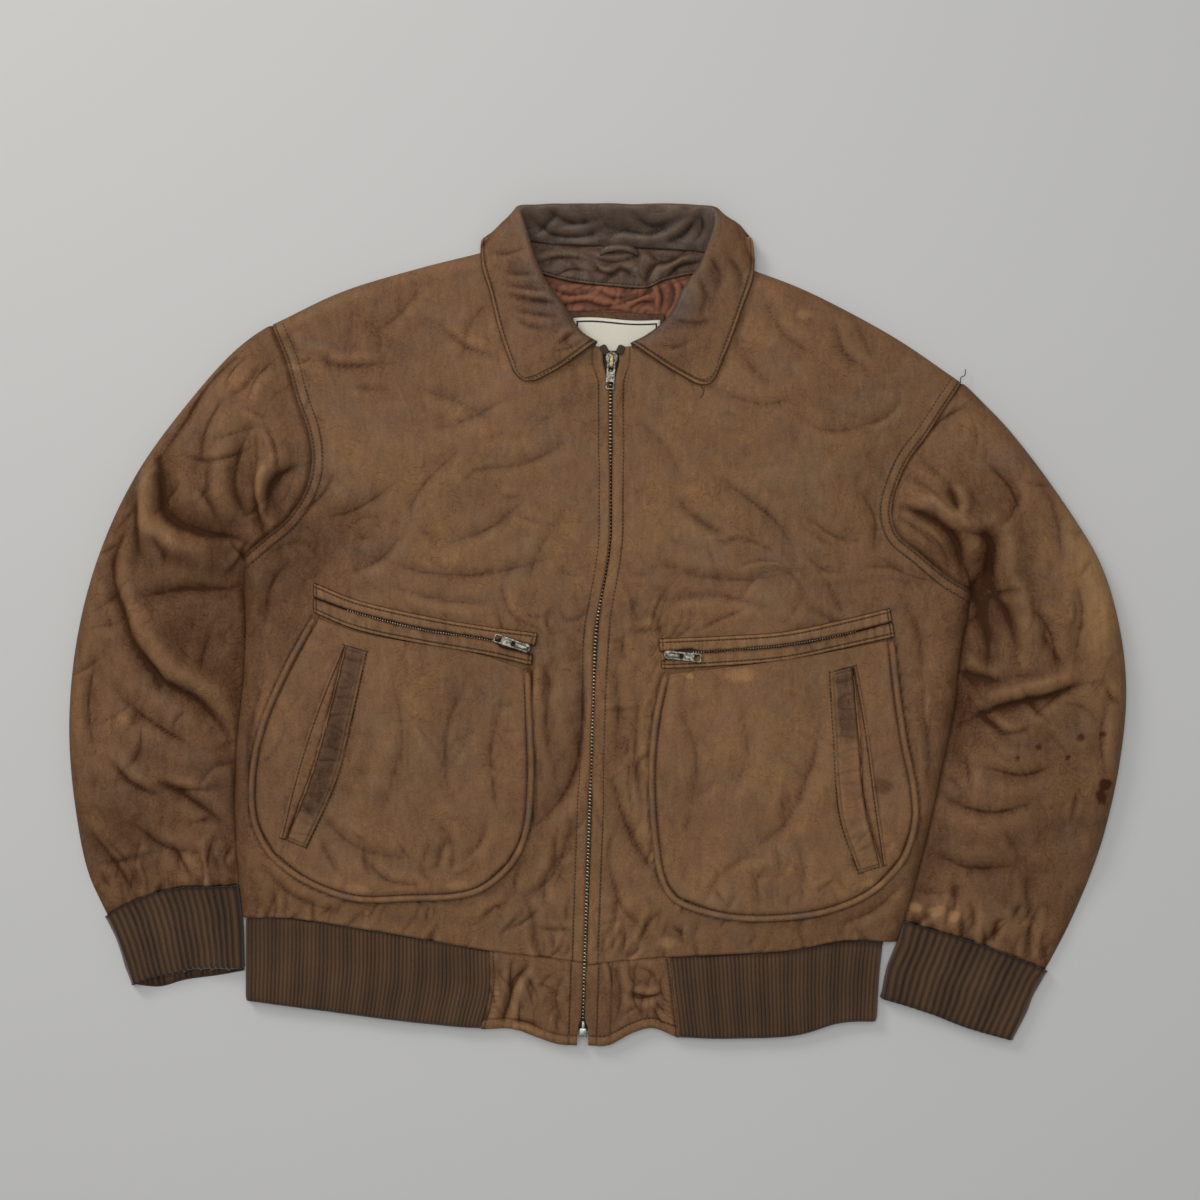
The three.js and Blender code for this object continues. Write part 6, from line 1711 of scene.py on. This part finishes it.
stitch = {"pitch": 3.4, "length": 2.6, "width": 0.75, "proud": 0.1}
sewnPieces = [o for o in bpy.context.scene.objects if o.type == "MESH" and "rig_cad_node" not in o]
trees = [BVHTree.FromObject(o, bpy.context.evaluated_depsgraph_get()) for o in sewnPieces]


def dropped(path, only=None):
    # a line of stitches laid on whatever shows beneath it
    path = np.array(path, dtype=float)[:, :2]
    path = pointsAlong(path, evenly(max(4, int(lineLength(path) / 1.7))))
    heightsFound = []
    for px, py in path:
        best = None
        for tree, piece in zip(trees, sewnPieces):
            if only and piece.name not in only:
                continue
            hit = tree.ray_cast(Vector((px * mm, py * mm, 0.2)), Vector((0, 0, -1)))[0]
            if hit is not None and (best is None or hit.z > best):
                best = hit.z
        heightsFound.append(best)
    chains, chain = [], []
    for (px, py), z in zip(path, heightsFound):
        if z is None or (chain and abs(z / mm - chain[-1][2]) > 3.5):
            if len(chain) > 2:
                chains.append(chain)
            chain = []
        if z is not None:
            chain.append((px, py, z / mm + stitch["proud"]))
    if len(chain) > 2:
        chains.append(chain)
    return chains


def inward(line, distance):
    # a line moved towards the middle of the jacket
    a, b = movedSideways(line, distance), movedSideways(line, -distance)
    return a if np.abs(a[:, 0] - 12).mean() < np.abs(b[:, 0] - 12).mean() else b


stitchRows = []
for wearer, o in lines.items():
    shape, sign, title = outlines[wearer], signs[wearer], wearer.title()
    panel = {f"frontPanel{title}"}
    ys = np.linspace(shape["hem"][0][1] + 2, 216, 120)
    stitchRows += dropped(besideZip(ys, sign, 9.5), panel | {"foldedCollar"})
    for inset in (2.2, 9.2):
        stitchRows += dropped(inward(o["armhole"], inset)[2:-2], panel)
    stitchRows += dropped(movedSideways(o["shoulder"], sign * -4.5)[4:-2], panel)
    # welts: both long edges and both ends
    top, bottom = np.array(o["weltTop"]), np.array(o["weltBottom"])
    welts = {f"zipWeltUpper{title}", f"zipWeltLower{title}"}
    for edge, distance in ((top, sign * 2.6), (bottom, sign * -2.6)):
        stitchRows += dropped(movedSideways(edge, distance)[1:-1], welts)
    for end in (0, -1):
        other = 1 if end == 0 else -2
        shift = (top[other] - top[end]) / np.linalg.norm(top[other] - top[end]) * 2.4
        stitchRows += dropped([top[end] + shift, bottom[end] + shift], welts)
    box = {f"handLip{title}", f"handWelt{title}", f"pocketPanel{title}"}
    stitchRows += dropped(inward(o["handOuter"], 2.0), box)
    stitchRows += dropped(inward(o["handInner"], 0.9), box)
    for end in (0, -1):
        stitchRows += dropped([o["handOuter"][end], o["handInner"][end]], box)
    tab = {f"hemTab{title}"}
    tabY = np.linspace(shape["hem"][0][1] - 3, -350, 40)
    stitchRows += dropped(besideZip(tabY, sign, 10.5), tab)
    stitchRows += dropped(movedSideways(pointsAlong(o["tabEnd"], np.linspace(0.03, 0.97, 60)), 7.4), tab)
    stitchRows += dropped(inward(o["tabSeam"], 3.2)[2:-2], tab)
    # one row inside the piping
    stitchRows += dropped(movedSideways(pipingPath(wearer), -sign * 3.4)[6:-6], {f"pocketPanel{title}"} | panel)
for path in ([(-6.5, 237.5), (-30, 224.5), (-50, 213.5), (-60, 211), (-67.5, 216), (-72, 226), (-80.5, 250.5),
              (-89.5, 286), (-96, 311)],
             [(37, 240), (60, 226), (80, 213.5), (92, 210.5), (99.5, 216), (104, 228), (110.5, 243.5), (121.5, 274.5),
              (128.4, 299)]):
    stitchRows += dropped(splineThrough(path), {"foldedCollar"})
facingRow = splineThrough([(-50, 307), (-20.6, 299.5), (9.6, 296.2), (42.9, 294.6), (57.3, 301)])
stitchRows += dropped(facingRow, {"neckFacing"})
repeated("topStitching", None, stitchRows, stitchTree, threadMaterial, stitch["pitch"], stitch["length"],
         stitch["width"], stitch["width"])
# a loose end of thread at the left shoulder
looseEnd = splineThrough([(309, 206, 5.5), (313, 209, 6.2), (313.5, 214, 6.6), (317, 216, 6.0), (318, 221, 4.6)], 8)
repeated("looseThread", None, [looseEnd], stitchTree, threadMaterial, 0.6, 1.2, 0.8, 0.8)
print("stitching laid")


# camera, straight above as the jacket lies on the floor
camera = {"lens": 50, "sensor": 36, "seenWidth": 1032, "middle": (2, 22), "clothHeight": 12}

cameraData = bpy.data.cameras.new("overheadCamera")
cameraData.lens, cameraData.sensor_width = camera["lens"], camera["sensor"]
cameraObject = placed("overheadCamera", cameraData)
cameraDistance = camera["seenWidth"] * camera["lens"] / camera["sensor"]
cameraObject.location = (camera["middle"][0] * mm, camera["middle"][1] * mm,
                         (cameraDistance + camera["clothHeight"]) * mm)
bpy.context.scene.camera = cameraObject

ground = {"colour": "#c9c9c7", "roughness": 0.9, "half": 3000}
floorMaterial, _, floorShader, _ = newMaterial("pale grey floor")
feed(None, floorShader, {"Base Color": linear(ground["colour"]), "Roughness": ground["roughness"]})
half = ground["half"]
floor = newPiece("floor", [(-half, -half, 0), (half, -half, 0), (half, half, 0), (-half, half, 0)],
                 [(0, 1, 2, 3)], floorMaterial)

room = {"colour": "#f2f3f5", "strength": 0.34}
light = {
    "sky": {"power": 30, "size": 2.0, "place": (-0.2, 0.4, 2.6), "colour": "#ffffff"},
    "window": {"power": 26, "size": 0.9, "place": (-1.5, 1.8, 1.5), "colour": "#fffaf4"},
}
for name, settings in light.items():
    data = bpy.data.lights.new(name, "AREA")
    data.energy, data.size, data.color = settings["power"], settings["size"], linear(settings["colour"])[:3]
    lamp = placed(name, data)
    lamp.location = settings["place"]
    towards = -np.array(settings["place"])
    lamp.rotation_euler = (math.atan2(math.hypot(towards[0], towards[1]), -towards[2]), 0,
                           math.atan2(towards[1], towards[0]) - math.pi / 2)
world = bpy.data.worlds.new("room")
world.use_nodes = True
feed(None, world.node_tree.nodes["Background"], {"Color": linear(room["colour"]), "Strength": room["strength"]})
bpy.context.scene.world = world
bpy.context.scene.view_settings.view_transform = "Standard"
